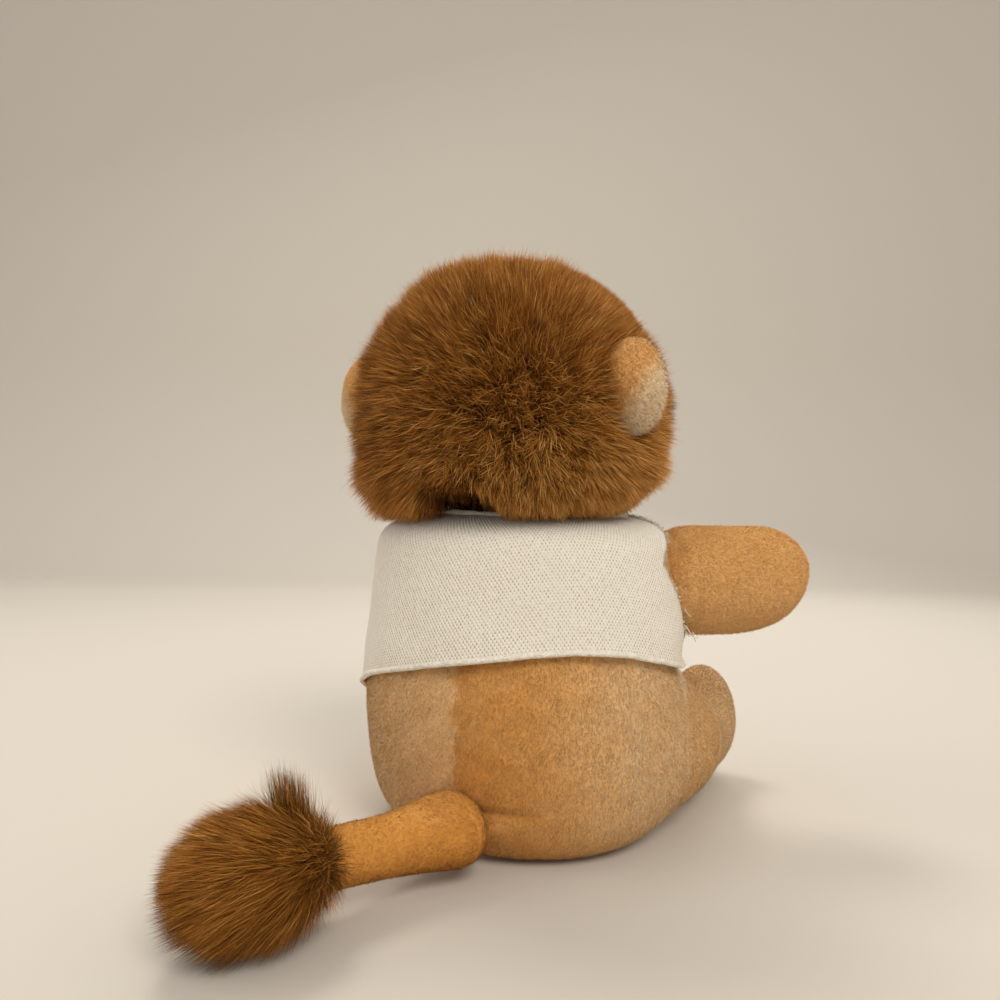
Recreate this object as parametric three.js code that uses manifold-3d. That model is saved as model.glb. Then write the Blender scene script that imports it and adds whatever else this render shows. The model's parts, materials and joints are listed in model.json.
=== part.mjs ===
// A plush lion that sits upright in a knitted vest: short-pile cloth panels over fibre stuffing,
// a long-pile mane and tail tuft, cupped ears, moulded eyes and nose.
// Millimetres, +Z up. The lion faces -Y, its left is +X, and the origin is the middle of the flat seat.

import * as THREE from "three";
import { mergeVertices } from "three/addons/utils/BufferGeometryUtils.js";
import Module from "manifold-3d";

const wasm = await Module();
wasm.setup();

// Cloth thicknesses, seams and fits
const PILE_CLOTH = 2.4;
const KNIT = 1.5;
const SEAM = 0.3;
const FLOOR_GAP = 0.4;

// Torso: a pear that swells to its full width low down. Outline points are shares of half width and height.
const BODY_WIDTH = 150;
const BODY_DEPTH = 132;
const BODY_HEIGHT = 143;
const SEAT_RADIUS = 48;
const BODY_SWELL = [
  [0.82, 0.045],
  [0.94, 0.15],
  [1, 0.34],
  [1, 0.54],
  [0.965, 0.73],
  [0.925, 0.87],
  [0.83, 0.95],
  [0.55, 0.99],
];
const SEAT_SEAM_HEIGHT = 6;
const SIDE_SEAM_Y = -8;

// Neck plug: the ball that the head turns and nods on
const NECK_RADIUS = 29;
const NECK_RISE = 9;
const NECK_FLOOR = 23;
const NECK_CHEEK = 24;

// Head, over the neck plug's centre, and the face on it, measured from the head's centre
const HEAD_RISE = 48;
const HEAD_BACKWARD = 8;
const HEAD_WIDTH = 112;
const HEAD_DEPTH = 108;
const HEAD_HEIGHT = 102;
const MUZZLE_WIDTH = 54;
const MUZZLE_DEPTH = 40;
const MUZZLE_HEIGHT = 36;
const MUZZLE_DROP = 14;
const CHIN_WIDTH = 30;
const CHIN_DEPTH = 26;
const CHIN_HEIGHT = 18;
const CHIN_DROP = 13;
const NOSE_WIDTH = 20;
const NOSE_DEPTH = 11;
const NOSE_HEIGHT = 13;
const NOSE_LIFT = 11;
const NOSE_SET = 4.4;
const FACE_SET = 4;
const MOUTH_THREAD = 1.6;
const MOUTH_REACH = 16.7;
const MOUTH_DROP = 7.6;
const MOUTH_SAG = 2.9;
const MOUTH_TURN = 0.8;
const EYE_RADIUS = 6.5;
const EYE_DOME = 5.2;
const EYE_ROUND = 23;
const EYE_LIFT = 15;
const EYE_SHANK_RADIUS = 2;
const EYE_SHANK = 9;
const WASHER_RADIUS = 8;
const WASHER_THICKNESS = 2;
const WASHER_PLAY = 2;

// Mane: the mass of the long pile, within its loose tips; shares of half width and height
const MANE_WIDTH = 142;
const MANE_DEPTH = 116;
const MANE_HEIGHT = 114;
const MANE_RISE = 55;
const MANE_BACKWARD = 10;
const MANE_SWELL = [
  [0.72, 0.01],
  [0.94, 0.1],
  [1, 0.26],
  [0.98, 0.48],
  [0.9, 0.66],
  [0.74, 0.82],
  [0.54, 0.93],
  [0.26, 0.99],
];
const MANE_SPLIT_Y = -4;
const RUFF_RADIUS = 50;
const RUFF_THICKNESS = 30;
const RUFF_FORWARD = 26;
const RUFF_DROP = 9;
const NOD_ROOM = 10;

// Ears: two cupped layers, rooted in the mane and standing out to the side, open to the front
const EAR_HEIGHT = 42;
const EAR_LENGTH = 30;
const EAR_BULGE = 17;
const EAR_LAYER = 3.6;
const EAR_ROUND = 62;
const EAR_SINK = 12;
const EAR_FLARE = 84;
const EAR_DROP = 5;
const EAR_ROOM = 1.1;
const EAR_RIM = 1;
const EAR_FOLD = 12;

// Arms: thick stubs on a round shoulder; the right one reaches out and the left one lies forward
const SHOULDER_OUT = 2;
const SHOULDER_FORWARD = 30;
const SHOULDER_DROP = 30;
const SHOULDER_RADIUS = 23.5;
const ARM_LENGTH = 48;
const ARM_OUTWARD = { left: 28, right: 50 };
const PAW_RADIUS = 25;
const PAW_ROUND = 20;
const FILLING_HOLE = 0.5;

// Legs: thick stubs on a round hip, with an upright foot and a flat sole
const HIP_IN = 23;
const HIP_BACKWARD = 9;
const HIP_RADIUS = 27;
const LEG_LENGTH = 52;
const LEG_SPLAY = 6;
const ANKLE_RADIUS = 20;
const ANKLE_ROUND = 8;
const FOOT_WIDTH = 42;
const FOOT_DEPTH = 34;
const FOOT_HEIGHT = 62;
const SOLE_CUT = 9;
const SOLE_THICKNESS = 2;

// Tail and its tuft
const TAIL_ROOT_RADIUS = 13;
const TAIL_TIP_RADIUS = 11;
const TAIL_LENGTH = 54;
const TAIL_TURN = 17;
const TAIL_RISE = 4;
const TAIL_HEIGHT = 19;
const TAIL_STANDOFF = 3;
const TUFT_LENGTH = 56;
const TUFT_RADIUS = 24.5;
const TUFT_PILE = 11;
const TUFT_RISE = 8;
const TUFT_MOUTH = 5.5;
const TUFT_MOUTH_HOLE = 8;
const TUFT_SWELL = [
  [0.7, 0.02],
  [0.9, 0.14],
  [1, 0.4],
  [0.97, 0.66],
  [0.76, 0.88],
  [0.4, 0.98],
];

// Vest: knitted panels that lie on the torso. The hem rises at the back: [y, drop from the torso's top].
const NECK_OPENING = 45;
const ARMHOLE_EASE = 4;
const HEM_LINE = [
  [-90, 71],
  [-45, 75],
  [-8, 81],
  [25, 73],
  [58, 62],
  [90, 59],
];
const HEM_ASKEW = 10;
const HEM_BAND = 3;
const HEM_PROUD = 0.8;

// Facets round the forms, and steps along their outlines
const BODY_SIDES = 20;
const HEAD_SIDES = 16;
const LIMB_SIDES = 12;
const FILLING_SIDES = 8;
const EAR_SIDES = 10;
const SOCKET_SIDES = 10;
const SOCKET_ROWS = 7;
const ROWS_PER_SIDE = 0.6;
const BALL_STEPS = 3;
const BODY_STEPS = 7;
const MANE_STEPS = 7;
const TUFT_STEPS = 6;
const HEM_STEPS = 5;
const RUFF_STEPS = 6;
const THREAD_STEPS = 5;
const SMILE_STEPS = 3;

const FAR = 400;
const WELD = 1e-4;

const COLOURS = {
  tan: { color: "#c48f58", roughness: 0.95, metalness: 0 },
  paleTan: { color: "#b98f62", roughness: 0.95, metalness: 0 },
  cream: { color: "#dfbd95", roughness: 0.95, metalness: 0 },
  mane: { color: "#6f3f16", roughness: 0.85, metalness: 0 },
  knit: { color: "#e3d6c0", roughness: 0.95, metalness: 0 },
  filling: { color: "#ece9e2", roughness: 1, metalness: 0 },
  moulded: { color: "#20140e", roughness: 0.25, metalness: 0 },
  washer: { color: "#e9e6dd", roughness: 0.5, metalness: 0 },
  thread: { color: "#2b1a12", roughness: 0.8, metalness: 0 },
};

const lion = new THREE.Group();
lion.name = "plush_lion";

const degrees = THREE.MathUtils.degToRad;

// Solids from three.js geometry

function solid(geometry) {
  const plain = geometry.clone();
  plain.deleteAttribute("normal");
  plain.deleteAttribute("uv");
  const merged = mergeVertices(plain, WELD);
  const index = merged.index.array;
  const triVerts = [];
  for (let i = 0; i < index.length; i += 3) {
    const [a, b, c] = [index[i], index[i + 1], index[i + 2]];
    if (a !== b && b !== c && c !== a) triVerts.push(a, b, c);
  }
  const mesh = new wasm.Mesh({
    numProp: 3,
    vertProperties: new Float32Array(merged.attributes.position.array),
    triVerts: new Uint32Array(triVerts),
  });
  return new wasm.Manifold(mesh);
}

function addPiece(group, name, shape, look) {
  const mesh = shape.getMesh();
  const geometry = new THREE.BufferGeometry();
  geometry.setAttribute("position", new THREE.BufferAttribute(new Float32Array(mesh.vertProperties), 3));
  geometry.setIndex(new THREE.BufferAttribute(new Uint32Array(mesh.triVerts), 1));
  geometry.computeVertexNormals();
  const piece = new THREE.Mesh(geometry, new THREE.MeshStandardMaterial(COLOURS[look]));
  piece.name = name;
  group.add(piece);
}

function box(low, high) {
  const size = new THREE.Vector3().subVectors(high, low);
  const middle = new THREE.Vector3().addVectors(low, high).multiplyScalar(0.5);
  return solid(new THREE.BoxGeometry(size.x, size.y, size.z).translate(middle.x, middle.y, middle.z));
}

// Everything between two corners, with a missing side left far away
function room({ x = [-FAR, FAR], y = [-FAR, FAR], z = [-FAR, FAR] }) {
  return box(new THREE.Vector3(x[0], y[0], z[0]), new THREE.Vector3(x[1], y[1], z[1]));
}

function ellipsoid(centre, size, grow = 0, sides = LIMB_SIDES) {
  const rows = Math.round(sides * ROWS_PER_SIDE);
  const geometry = new THREE.SphereGeometry(1, sides, rows).rotateX(Math.PI / 2);
  geometry.scale(size.x / 2 + grow, size.y / 2 + grow, size.z / 2 + grow);
  return solid(geometry.translate(centre.x, centre.y, centre.z));
}

function ball(centre, radius) {
  const geometry = new THREE.SphereGeometry(radius, SOCKET_SIDES, SOCKET_ROWS);
  return solid(geometry.translate(centre.x, centre.y, centre.z));
}

// The faceted room in which a ball of a given radius turns freely
function socket(centre, radius) {
  const facets = Math.cos(Math.PI / SOCKET_SIDES) * Math.cos(Math.PI / (2 * SOCKET_ROWS));
  return ball(centre, radius / facets + SEAM);
}

// A smooth line through pairs such as [radius, height]
function smooth(points, steps) {
  return new THREE.SplineCurve(points.map(([r, h]) => new THREE.Vector2(r, h))).getPoints(steps);
}

// The outline moved inwards along its own normals; its two ends stay on the axis
function inset(outline, depth) {
  const last = outline.length - 1;
  return outline.map((point, i) => {
    const along = new THREE.Vector2().subVectors(
      outline[Math.min(i + 1, last)],
      outline[Math.max(i - 1, 0)],
    );
    along.normalize();
    const outward = new THREE.Vector2(along.y, -along.x);
    if (i === 0) outward.set(0, -1);
    if (i === last) outward.set(0, 1);
    return new THREE.Vector2(Math.max(0, point.x - depth * outward.x), point.y - depth * outward.y);
  });
}

// An outline turned about +Z
function turned(outline, sides) {
  return new THREE.LatheGeometry(outline, sides).rotateX(Math.PI / 2);
}

// The same, pointing along -Y, for limbs, and along +Y, for the tail
const forwards = (geometry) => geometry.rotateX(Math.PI / 2);
const backwards = (geometry) => geometry.rotateX(-Math.PI / 2);

// A geometry given in a placed group's own frame, as a solid in the lion's frame
function inLionFrame(group, geometry) {
  lion.updateMatrixWorld(true);
  return solid(geometry.clone().applyMatrix4(group.matrixWorld));
}

function placedGroup(parent, name, position) {
  const group = new THREE.Group();
  group.name = name;
  group.position.copy(position);
  parent.add(group);
  return group;
}

// Forms that several pieces share

const bodyOutline = [
  new THREE.Vector2(0, 0),
  ...smooth(
    [
      [SEAT_RADIUS, 0],
      ...BODY_SWELL.map(([r, h]) => [(r * BODY_WIDTH) / 2, h * BODY_HEIGHT]),
      [0, BODY_HEIGHT],
    ],
    BODY_STEPS,
  ),
];

function bodyForm(depth) {
  return solid(turned(inset(bodyOutline, depth), BODY_SIDES).scale(1, BODY_DEPTH / BODY_WIDTH, 1));
}

// The torso spun about its own axis, so that the mane clears it however the head is turned
function bodySpun(depth) {
  return solid(turned(inset(bodyOutline, depth), HEAD_SIDES));
}

const neckCentre = new THREE.Vector3(0, 0, BODY_HEIGHT + NECK_RISE);
const neckRoom = socket(neckCentre, NECK_RADIUS);
// The plug turns on a flat floor in the torso and nods between two flat cheeks in the head
const neckFloor = (gap) => room({ z: [neckCentre.z - NECK_FLOOR - gap, FAR] });
const neckCheeks = (gap) => room({ x: [-NECK_CHEEK - gap, NECK_CHEEK + gap] });
const neckInTorso = neckRoom.intersect(neckFloor(SEAM));
const neckInHead = neckRoom.intersect(neckCheeks(SEAM));

const headCentre = new THREE.Vector3(0, HEAD_BACKWARD, neckCentre.z + HEAD_RISE);
const headSize = new THREE.Vector3(HEAD_WIDTH, HEAD_DEPTH, HEAD_HEIGHT);
const headForm = (depth) => ellipsoid(headCentre, headSize, -depth, HEAD_SIDES);

const maneCentre = new THREE.Vector2(headCentre.x, headCentre.y + MANE_BACKWARD);
const maneOutline = [
  new THREE.Vector2(0, 0),
  ...smooth(
    [...MANE_SWELL.map(([r, h]) => [(r * MANE_WIDTH) / 2, h * MANE_HEIGHT]), [0, MANE_HEIGHT]],
    MANE_STEPS,
  ),
];
const maneForm = solid(
  turned(maneOutline, HEAD_SIDES)
    .scale(1, MANE_DEPTH / MANE_WIDTH, 1)
    .translate(maneCentre.x, maneCentre.y, headCentre.z + MANE_RISE - MANE_HEIGHT),
);

// Limbs: each is turned about its own axis from the centre of the ball it swings on

// A quarter of an ellipse as [radius, height] points, from its full radius to its top on the axis
function dome(radius, height) {
  const points = [];
  for (let i = 0; i <= BALL_STEPS; i += 1) {
    const angle = (Math.PI / 2) * (i / BALL_STEPS);
    points.push(new THREE.Vector2(i < BALL_STEPS ? radius * Math.cos(angle) : 0, height * Math.sin(angle)));
  }
  return points;
}

// A limb's outline: its ball, a taper to the tip's radius, then the round end
function limbOutline(ballRadius, tipRadius, taper, roundEnd) {
  const inner = dome(ballRadius, -ballRadius).reverse();
  const middle = new THREE.Vector2((ballRadius + tipRadius) / 2, taper / 2);
  const end = dome(tipRadius, roundEnd).map((point) => new THREE.Vector2(point.x, point.y + taper));
  return [...inner, middle, ...end];
}

// The cloth of a turned limb, open at the ball where the filling went in, and the filling itself
function skinAndFilling(outline, place, ballRadius) {
  const hole = new THREE.CylinderGeometry(1, 1, ballRadius, FILLING_SIDES).rotateX(Math.PI / 2);
  hole.scale(ballRadius * FILLING_HOLE, ballRadius * FILLING_HOLE, 1).translate(0, 0, -ballRadius);
  const outside = solid(place(turned(outline, LIMB_SIDES)));
  const inside = solid(place(turned(inset(outline, PILE_CLOTH), FILLING_SIDES)));
  const filling = solid(place(turned(inset(outline, PILE_CLOTH + SEAM), FILLING_SIDES)));
  return { outside, inside, filling, hole: solid(place(hole)) };
}

const bodyCuts = [neckInTorso];
const vestCuts = [];
const sides = [
  [1, "left"],
  [-1, "right"],
];

// Arms

const armOutline = limbOutline(SHOULDER_RADIUS, PAW_RADIUS, ARM_LENGTH - PAW_ROUND, PAW_ROUND);

const shoulderHeight = BODY_HEIGHT - SHOULDER_DROP;
for (const [side, word] of sides) {
  const shoulderX = side * (BODY_WIDTH / 2 + SHOULDER_OUT);
  const pivot = new THREE.Vector3(shoulderX, -SHOULDER_FORWARD, shoulderHeight);
  const arm = placedGroup(lion, `arm_${word}`, pivot);
  arm.rotation.z = side * degrees(ARM_OUTWARD[word]);
  const { outside, inside, filling, hole } = skinAndFilling(armOutline, forwards, SHOULDER_RADIUS);
  addPiece(arm, `arm_${word}_skin`, outside.subtract(inside).subtract(hole), "tan");
  addPiece(arm, `arm_${word}_stuffing`, filling, "filling");
  bodyCuts.push(socket(pivot, SHOULDER_RADIUS));
  const armhole = SHOULDER_RADIUS + ARMHOLE_EASE;
  const opening = new THREE.CylinderGeometry(armhole, armhole, ARM_LENGTH, SOCKET_SIDES);
  vestCuts.push(inLionFrame(arm, opening));
}

// Legs

const legOutline = limbOutline(HIP_RADIUS, ANKLE_RADIUS, LEG_LENGTH - ANKLE_ROUND, ANKLE_ROUND);

for (const [side, word] of sides) {
  const hipX = BODY_WIDTH / 2 - HIP_IN;
  const hipY = HIP_BACKWARD - BODY_DEPTH / 2;
  const pivot = new THREE.Vector3(side * hipX, hipY, HIP_RADIUS + FLOOR_GAP);
  const leg = placedGroup(lion, `leg_${word}`, pivot);
  leg.rotation.z = side * degrees(LEG_SPLAY);
  const footCentre = new THREE.Vector3(0, -LEG_LENGTH, FOOT_HEIGHT / 2 - HIP_RADIUS);
  const footSize = new THREE.Vector3(FOOT_WIDTH, FOOT_DEPTH, FOOT_HEIGHT);
  const soleY = footCentre.y - FOOT_DEPTH / 2 + SOLE_CUT;
  const foot = (depth, sides) => ellipsoid(footCentre, footSize, -depth, sides);
  const behindSole = (gap) => room({ y: [soleY + gap, FAR] });
  const { outside, inside, filling, hole } = skinAndFilling(legOutline, forwards, HIP_RADIUS);
  const shell = outside.add(foot(0, LIMB_SIDES)).intersect(behindSole(0));
  const hollow = inside.add(foot(PILE_CLOTH, FILLING_SIDES));
  const core = filling.add(foot(PILE_CLOTH + SEAM, FILLING_SIDES)).intersect(behindSole(SEAM));
  addPiece(leg, `leg_${word}_skin`, shell.subtract(hollow).subtract(hole), "tan");
  addPiece(leg, `leg_${word}_stuffing`, core, "filling");
  const soleRoom = room({ y: [soleY - SEAM - SOLE_THICKNESS, soleY - SEAM] });
  const soleTrim = new THREE.CylinderGeometry(1, 1, FOOT_DEPTH, LIMB_SIDES);
  const soleShare = Math.sqrt(1 - (1 - (2 * SOLE_CUT) / FOOT_DEPTH) ** 2);
  soleTrim.scale((FOOT_WIDTH / 2) * soleShare, 1, (FOOT_HEIGHT / 2) * soleShare);
  soleTrim.translate(footCentre.x, footCentre.y, footCentre.z);
  addPiece(leg, `sole_${word}`, solid(soleTrim).intersect(soleRoom), "cream");
  bodyCuts.push(socket(pivot, HIP_RADIUS));
}

// Tail, on its own ball at the foot of the centre-back seam

const tailPivot = new THREE.Vector3(0, BODY_DEPTH / 2 + TAIL_STANDOFF, TAIL_HEIGHT);
const tail = placedGroup(lion, "tail", tailPivot);
tail.rotation.set(degrees(TAIL_RISE), 0, degrees(-TAIL_TURN), "ZXY");
const tailOutline = limbOutline(TAIL_ROOT_RADIUS, TAIL_TIP_RADIUS, TAIL_LENGTH, TAIL_TIP_RADIUS);
const tailForms = skinAndFilling(tailOutline, backwards, TAIL_ROOT_RADIUS);
addPiece(tail, "tail_skin", tailForms.outside.subtract(tailForms.inside).subtract(tailForms.hole), "tan");
addPiece(tail, "tail_stuffing", tailForms.filling, "filling");
bodyCuts.push(socket(tailPivot, TAIL_ROOT_RADIUS));

// The tuft hangs on the tail's round tip; its pile is flattened where it lies on the floor
const tuft = placedGroup(tail, "tuft", new THREE.Vector3(0, TAIL_LENGTH, 0));
tuft.rotation.x = degrees(TUFT_RISE - TAIL_RISE);
const tuftBody = TUFT_LENGTH - TUFT_MOUTH;
const tuftOutline = [
  new THREE.Vector2(0, TUFT_MOUTH),
  ...smooth(
    [
      ...TUFT_SWELL.map(([r, s]) => [r * TUFT_RADIUS, TUFT_MOUTH + s * tuftBody]),
      [0, TUFT_LENGTH],
    ],
    TUFT_STEPS,
  ),
];
const tuftMouth = new THREE.CylinderGeometry(TUFT_MOUTH_HOLE, TUFT_MOUTH_HOLE, TUFT_LENGTH / 2, LIMB_SIDES);
const tuftOutside = solid(backwards(turned(tuftOutline, HEAD_SIDES)));
const tuftCoreCentre = new THREE.Vector3(0, TUFT_MOUTH + tuftBody / 2, 0);
const tuftCoreSize = new THREE.Vector3(2 * TUFT_RADIUS, tuftBody, 2 * TUFT_RADIUS).subScalar(2 * TUFT_PILE);
const tuftCore = (gap) => ellipsoid(tuftCoreCentre, tuftCoreSize, -gap, FILLING_SIDES);
const tailTip = socket(new THREE.Vector3(), TAIL_TIP_RADIUS);
const tuftFloor = new THREE.BoxGeometry(FAR, FAR, FAR).translate(0, 0, FLOOR_GAP - FAR / 2);
lion.updateMatrixWorld(true);
tuftFloor.applyMatrix4(tuft.matrixWorld.clone().invert());
const tuftPile = tuftOutside
  .subtract(tuftCore(0))
  .subtract(solid(tuftMouth.translate(0, TUFT_LENGTH / 4, 0)))
  .subtract(tailTip)
  .subtract(solid(tuftFloor));
addPiece(tuft, "tuft_pile", tuftPile, "mane");
addPiece(tuft, "tuft_stuffing", tuftCore(SEAM), "filling");

// Torso: four cloth panels round the filling, each open where a limb is sewn on

const cutByAll = (shape, cuts) => cuts.reduce((left, cut) => left.subtract(cut), shape);
const bodyCloth = cutByAll(bodyForm(0).subtract(bodyForm(PILE_CLOTH)), bodyCuts);
const half = SEAM / 2;
const overSeat = [SEAT_SEAM_HEIGHT + half, FAR];
const behindSides = [SIDE_SEAM_Y + half, FAR];
const torso = placedGroup(lion, "torso", new THREE.Vector3());
addPiece(
  torso,
  "body_back_left",
  bodyCloth.intersect(room({ x: [half, FAR], y: behindSides, z: overSeat })),
  "paleTan",
);
addPiece(
  torso,
  "body_back_right",
  bodyCloth.intersect(room({ x: [-FAR, -half], y: behindSides, z: overSeat })),
  "tan",
);
addPiece(
  torso,
  "belly_panel",
  bodyCloth.intersect(room({ y: [-FAR, SIDE_SEAM_Y - half], z: overSeat })),
  "cream",
);
addPiece(
  torso,
  "seat_panel",
  bodyCloth.intersect(room({ z: [-FAR, SEAT_SEAM_HEIGHT - half] })),
  "tan",
);
addPiece(torso, "body_stuffing", cutByAll(bodyForm(PILE_CLOTH + SEAM), bodyCuts), "filling");

// Neck plug

const neck = placedGroup(lion, "neck", new THREE.Vector3());
const neckPlug = ball(neckCentre, NECK_RADIUS).intersect(neckFloor(0)).intersect(neckCheeks(0));
addPiece(neck, "neck_stuffing", neckPlug, "filling");

// Head: filling, face and its features

const head = placedGroup(lion, "head", new THREE.Vector3());
const faceRoom = room({ y: [-FAR, MANE_SPLIT_Y - half] });
const muzzleSize = new THREE.Vector3(MUZZLE_WIDTH, MUZZLE_DEPTH, MUZZLE_HEIGHT);
const chinSize = new THREE.Vector3(CHIN_WIDTH, CHIN_DEPTH, CHIN_HEIGHT);
const noseSize = new THREE.Vector3(NOSE_WIDTH, NOSE_DEPTH, NOSE_HEIGHT);
const faceAt = (drop) =>
  new THREE.Vector3(0, headCentre.y - HEAD_DEPTH / 2 + FACE_SET, headCentre.z - drop);
const muzzleCentre = faceAt(MUZZLE_DROP);
const muzzleForm = (grow) => ellipsoid(muzzleCentre, muzzleSize, grow);
const chinCentre = faceAt(MUZZLE_DROP + CHIN_DROP);
const noseCentre = new THREE.Vector3(
  0,
  muzzleCentre.y - MUZZLE_DEPTH / 2 + NOSE_SET,
  muzzleCentre.z + NOSE_LIFT,
);
const shoulderRoom = bodySpun(-(SEAM + KNIT + NOD_ROOM));
const ruffCentre = new THREE.Vector3(0, headCentre.y - RUFF_FORWARD, headCentre.z - RUFF_DROP);
const ruffRing = new THREE.TorusGeometry(RUFF_RADIUS, RUFF_THICKNESS / 2, RUFF_STEPS, HEAD_SIDES);
const ruffForm = solid(
  ruffRing
    .rotateX(Math.PI / 2)
    .scale(1, 1, MANE_HEIGHT / MANE_DEPTH)
    .translate(ruffCentre.x, ruffCentre.y, ruffCentre.z),
);
const ruffShape = ruffForm
  .intersect(faceRoom)
  .subtract(headForm(-SEAM))
  .subtract(shoulderRoom)
  .subtract(neckInHead);

let headFilling = headForm(PILE_CLOTH + SEAM).subtract(neckInHead);
let face = headForm(0).subtract(headForm(PILE_CLOTH)).intersect(faceRoom).subtract(neckInHead);

// Eyes: a dome on a shank through the face, locked by a washer behind the cloth
const eyeProfile = [
  new THREE.Vector2(0, -EYE_SHANK),
  new THREE.Vector2(EYE_SHANK_RADIUS, -EYE_SHANK),
  new THREE.Vector2(EYE_SHANK_RADIUS, SEAM),
  ...dome(EYE_RADIUS, EYE_DOME).map((point) => new THREE.Vector2(point.x, point.y + SEAM)),
];
const washerBore = EYE_SHANK_RADIUS + SEAM;
const washerProfile = [
  new THREE.Vector2(washerBore, 0),
  new THREE.Vector2(WASHER_RADIUS, 0),
  new THREE.Vector2(WASHER_RADIUS, WASHER_THICKNESS),
  new THREE.Vector2(washerBore, WASHER_THICKNESS),
  new THREE.Vector2(washerBore, 0),
];
// How far a flat washer or eye of a given radius stands off the round head
const roundOff = (radius) => HEAD_HEIGHT / 2 - Math.sqrt((HEAD_HEIGHT / 2) ** 2 - radius ** 2);
const washerTop = -PILE_CLOTH - WASHER_PLAY - roundOff(WASHER_RADIUS);
const pocketDepth = EYE_SHANK + SEAM;

for (const [side, word] of sides) {
  const round = degrees(EYE_ROUND);
  const lift = degrees(EYE_LIFT);
  const out = new THREE.Vector3(
    side * Math.sin(round) * Math.cos(lift),
    -Math.cos(round) * Math.cos(lift),
    Math.sin(lift),
  );
  const reach = 1 / new THREE.Vector3().copy(out).divide(headSize).multiplyScalar(2).length();
  const eye = placedGroup(head, `eye_${word}_seat`, headCentre.clone().addScaledVector(out, reach));
  eye.quaternion.setFromUnitVectors(new THREE.Vector3(0, 0, 1), out);
  addPiece(eye, `eye_${word}`, solid(turned(eyeProfile, LIMB_SIDES)), "moulded");
  const washer = turned(washerProfile, LIMB_SIDES).translate(0, 0, washerTop - WASHER_THICKNESS);
  addPiece(eye, `eye_washer_${word}`, solid(washer), "washer");
  const shankHole = new THREE.CylinderGeometry(washerBore, washerBore, 2 * pocketDepth, LIMB_SIDES);
  face = face.subtract(inLionFrame(eye, shankHole.rotateX(Math.PI / 2)));
  const pocketRadius = WASHER_RADIUS + SEAM;
  const pocket = new THREE.CylinderGeometry(pocketRadius, pocketRadius, pocketDepth, LIMB_SIDES);
  pocket.rotateX(Math.PI / 2).translate(0, 0, -pocketDepth / 2);
  headFilling = headFilling.subtract(inLionFrame(eye, pocket));
}

addPiece(head, "head_stuffing", headFilling, "filling");
addPiece(head, "face_panel", face, "tan");
const muzzle = muzzleForm(0).subtract(headForm(-SEAM)).subtract(ruffShape);
addPiece(head, "muzzle", muzzle, "cream");
const chinForm = (grow) => ellipsoid(chinCentre, chinSize, grow, EAR_SIDES);
const chin = chinForm(0).subtract(muzzleForm(SEAM)).subtract(headForm(-SEAM));
addPiece(head, "chin", chin, "cream");
const nose = ellipsoid(noseCentre, noseSize).subtract(muzzleForm(SEAM));
addPiece(head, "nose", nose, "moulded");

// Mouth: one thread down the middle of the muzzle and one curving up to each side, laid on its surface
function onMuzzle(x, z) {
  const reach = muzzleSize.clone().multiplyScalar(0.5).addScalar(SEAM + MOUTH_THREAD / 2);
  const y = -reach.y * Math.sqrt(1 - (x / reach.x) ** 2 - (z / reach.z) ** 2);
  return muzzleCentre.clone().add(new THREE.Vector3(x, y, z));
}

function thread(points) {
  const section = new THREE.Shape();
  section.absarc(0, 0, MOUTH_THREAD / 2, 0, 2 * Math.PI);
  const path = new THREE.CatmullRomCurve3(points);
  return solid(
    new THREE.ExtrudeGeometry(section, {
      steps: THREAD_STEPS,
      curveSegments: 2,
      bevelEnabled: false,
      extrudePath: path,
    }),
  );
}

const noseFoot = NOSE_LIFT - NOSE_HEIGHT / 2 - MOUTH_THREAD;
const middleOfLip = (noseFoot - MOUTH_DROP) / 2;
let mouth = thread([onMuzzle(0, noseFoot), onMuzzle(0, middleOfLip), onMuzzle(0, -MOUTH_DROP)]);
for (const [side] of sides) {
  const smile = [];
  for (let i = 0; i <= SMILE_STEPS; i += 1) {
    const share = i / SMILE_STEPS;
    const sag = MOUTH_SAG * Math.sin(share * Math.PI * MOUTH_TURN);
    smile.push(onMuzzle(side * share * MOUTH_REACH, -MOUTH_DROP - sag));
  }
  mouth = mouth.add(thread(smile));
}
addPiece(head, "mouth_stitch", mouth, "thread");

// Ears

let maneBack = maneForm
  .intersect(room({ y: [MANE_SPLIT_Y + half, FAR] }))
  .subtract(headForm(PILE_CLOTH))
  .subtract(shoulderRoom)
  .subtract(neckInHead);
let ruff = ruffShape.subtract(muzzleForm(SEAM)).subtract(chinForm(SEAM));

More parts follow.
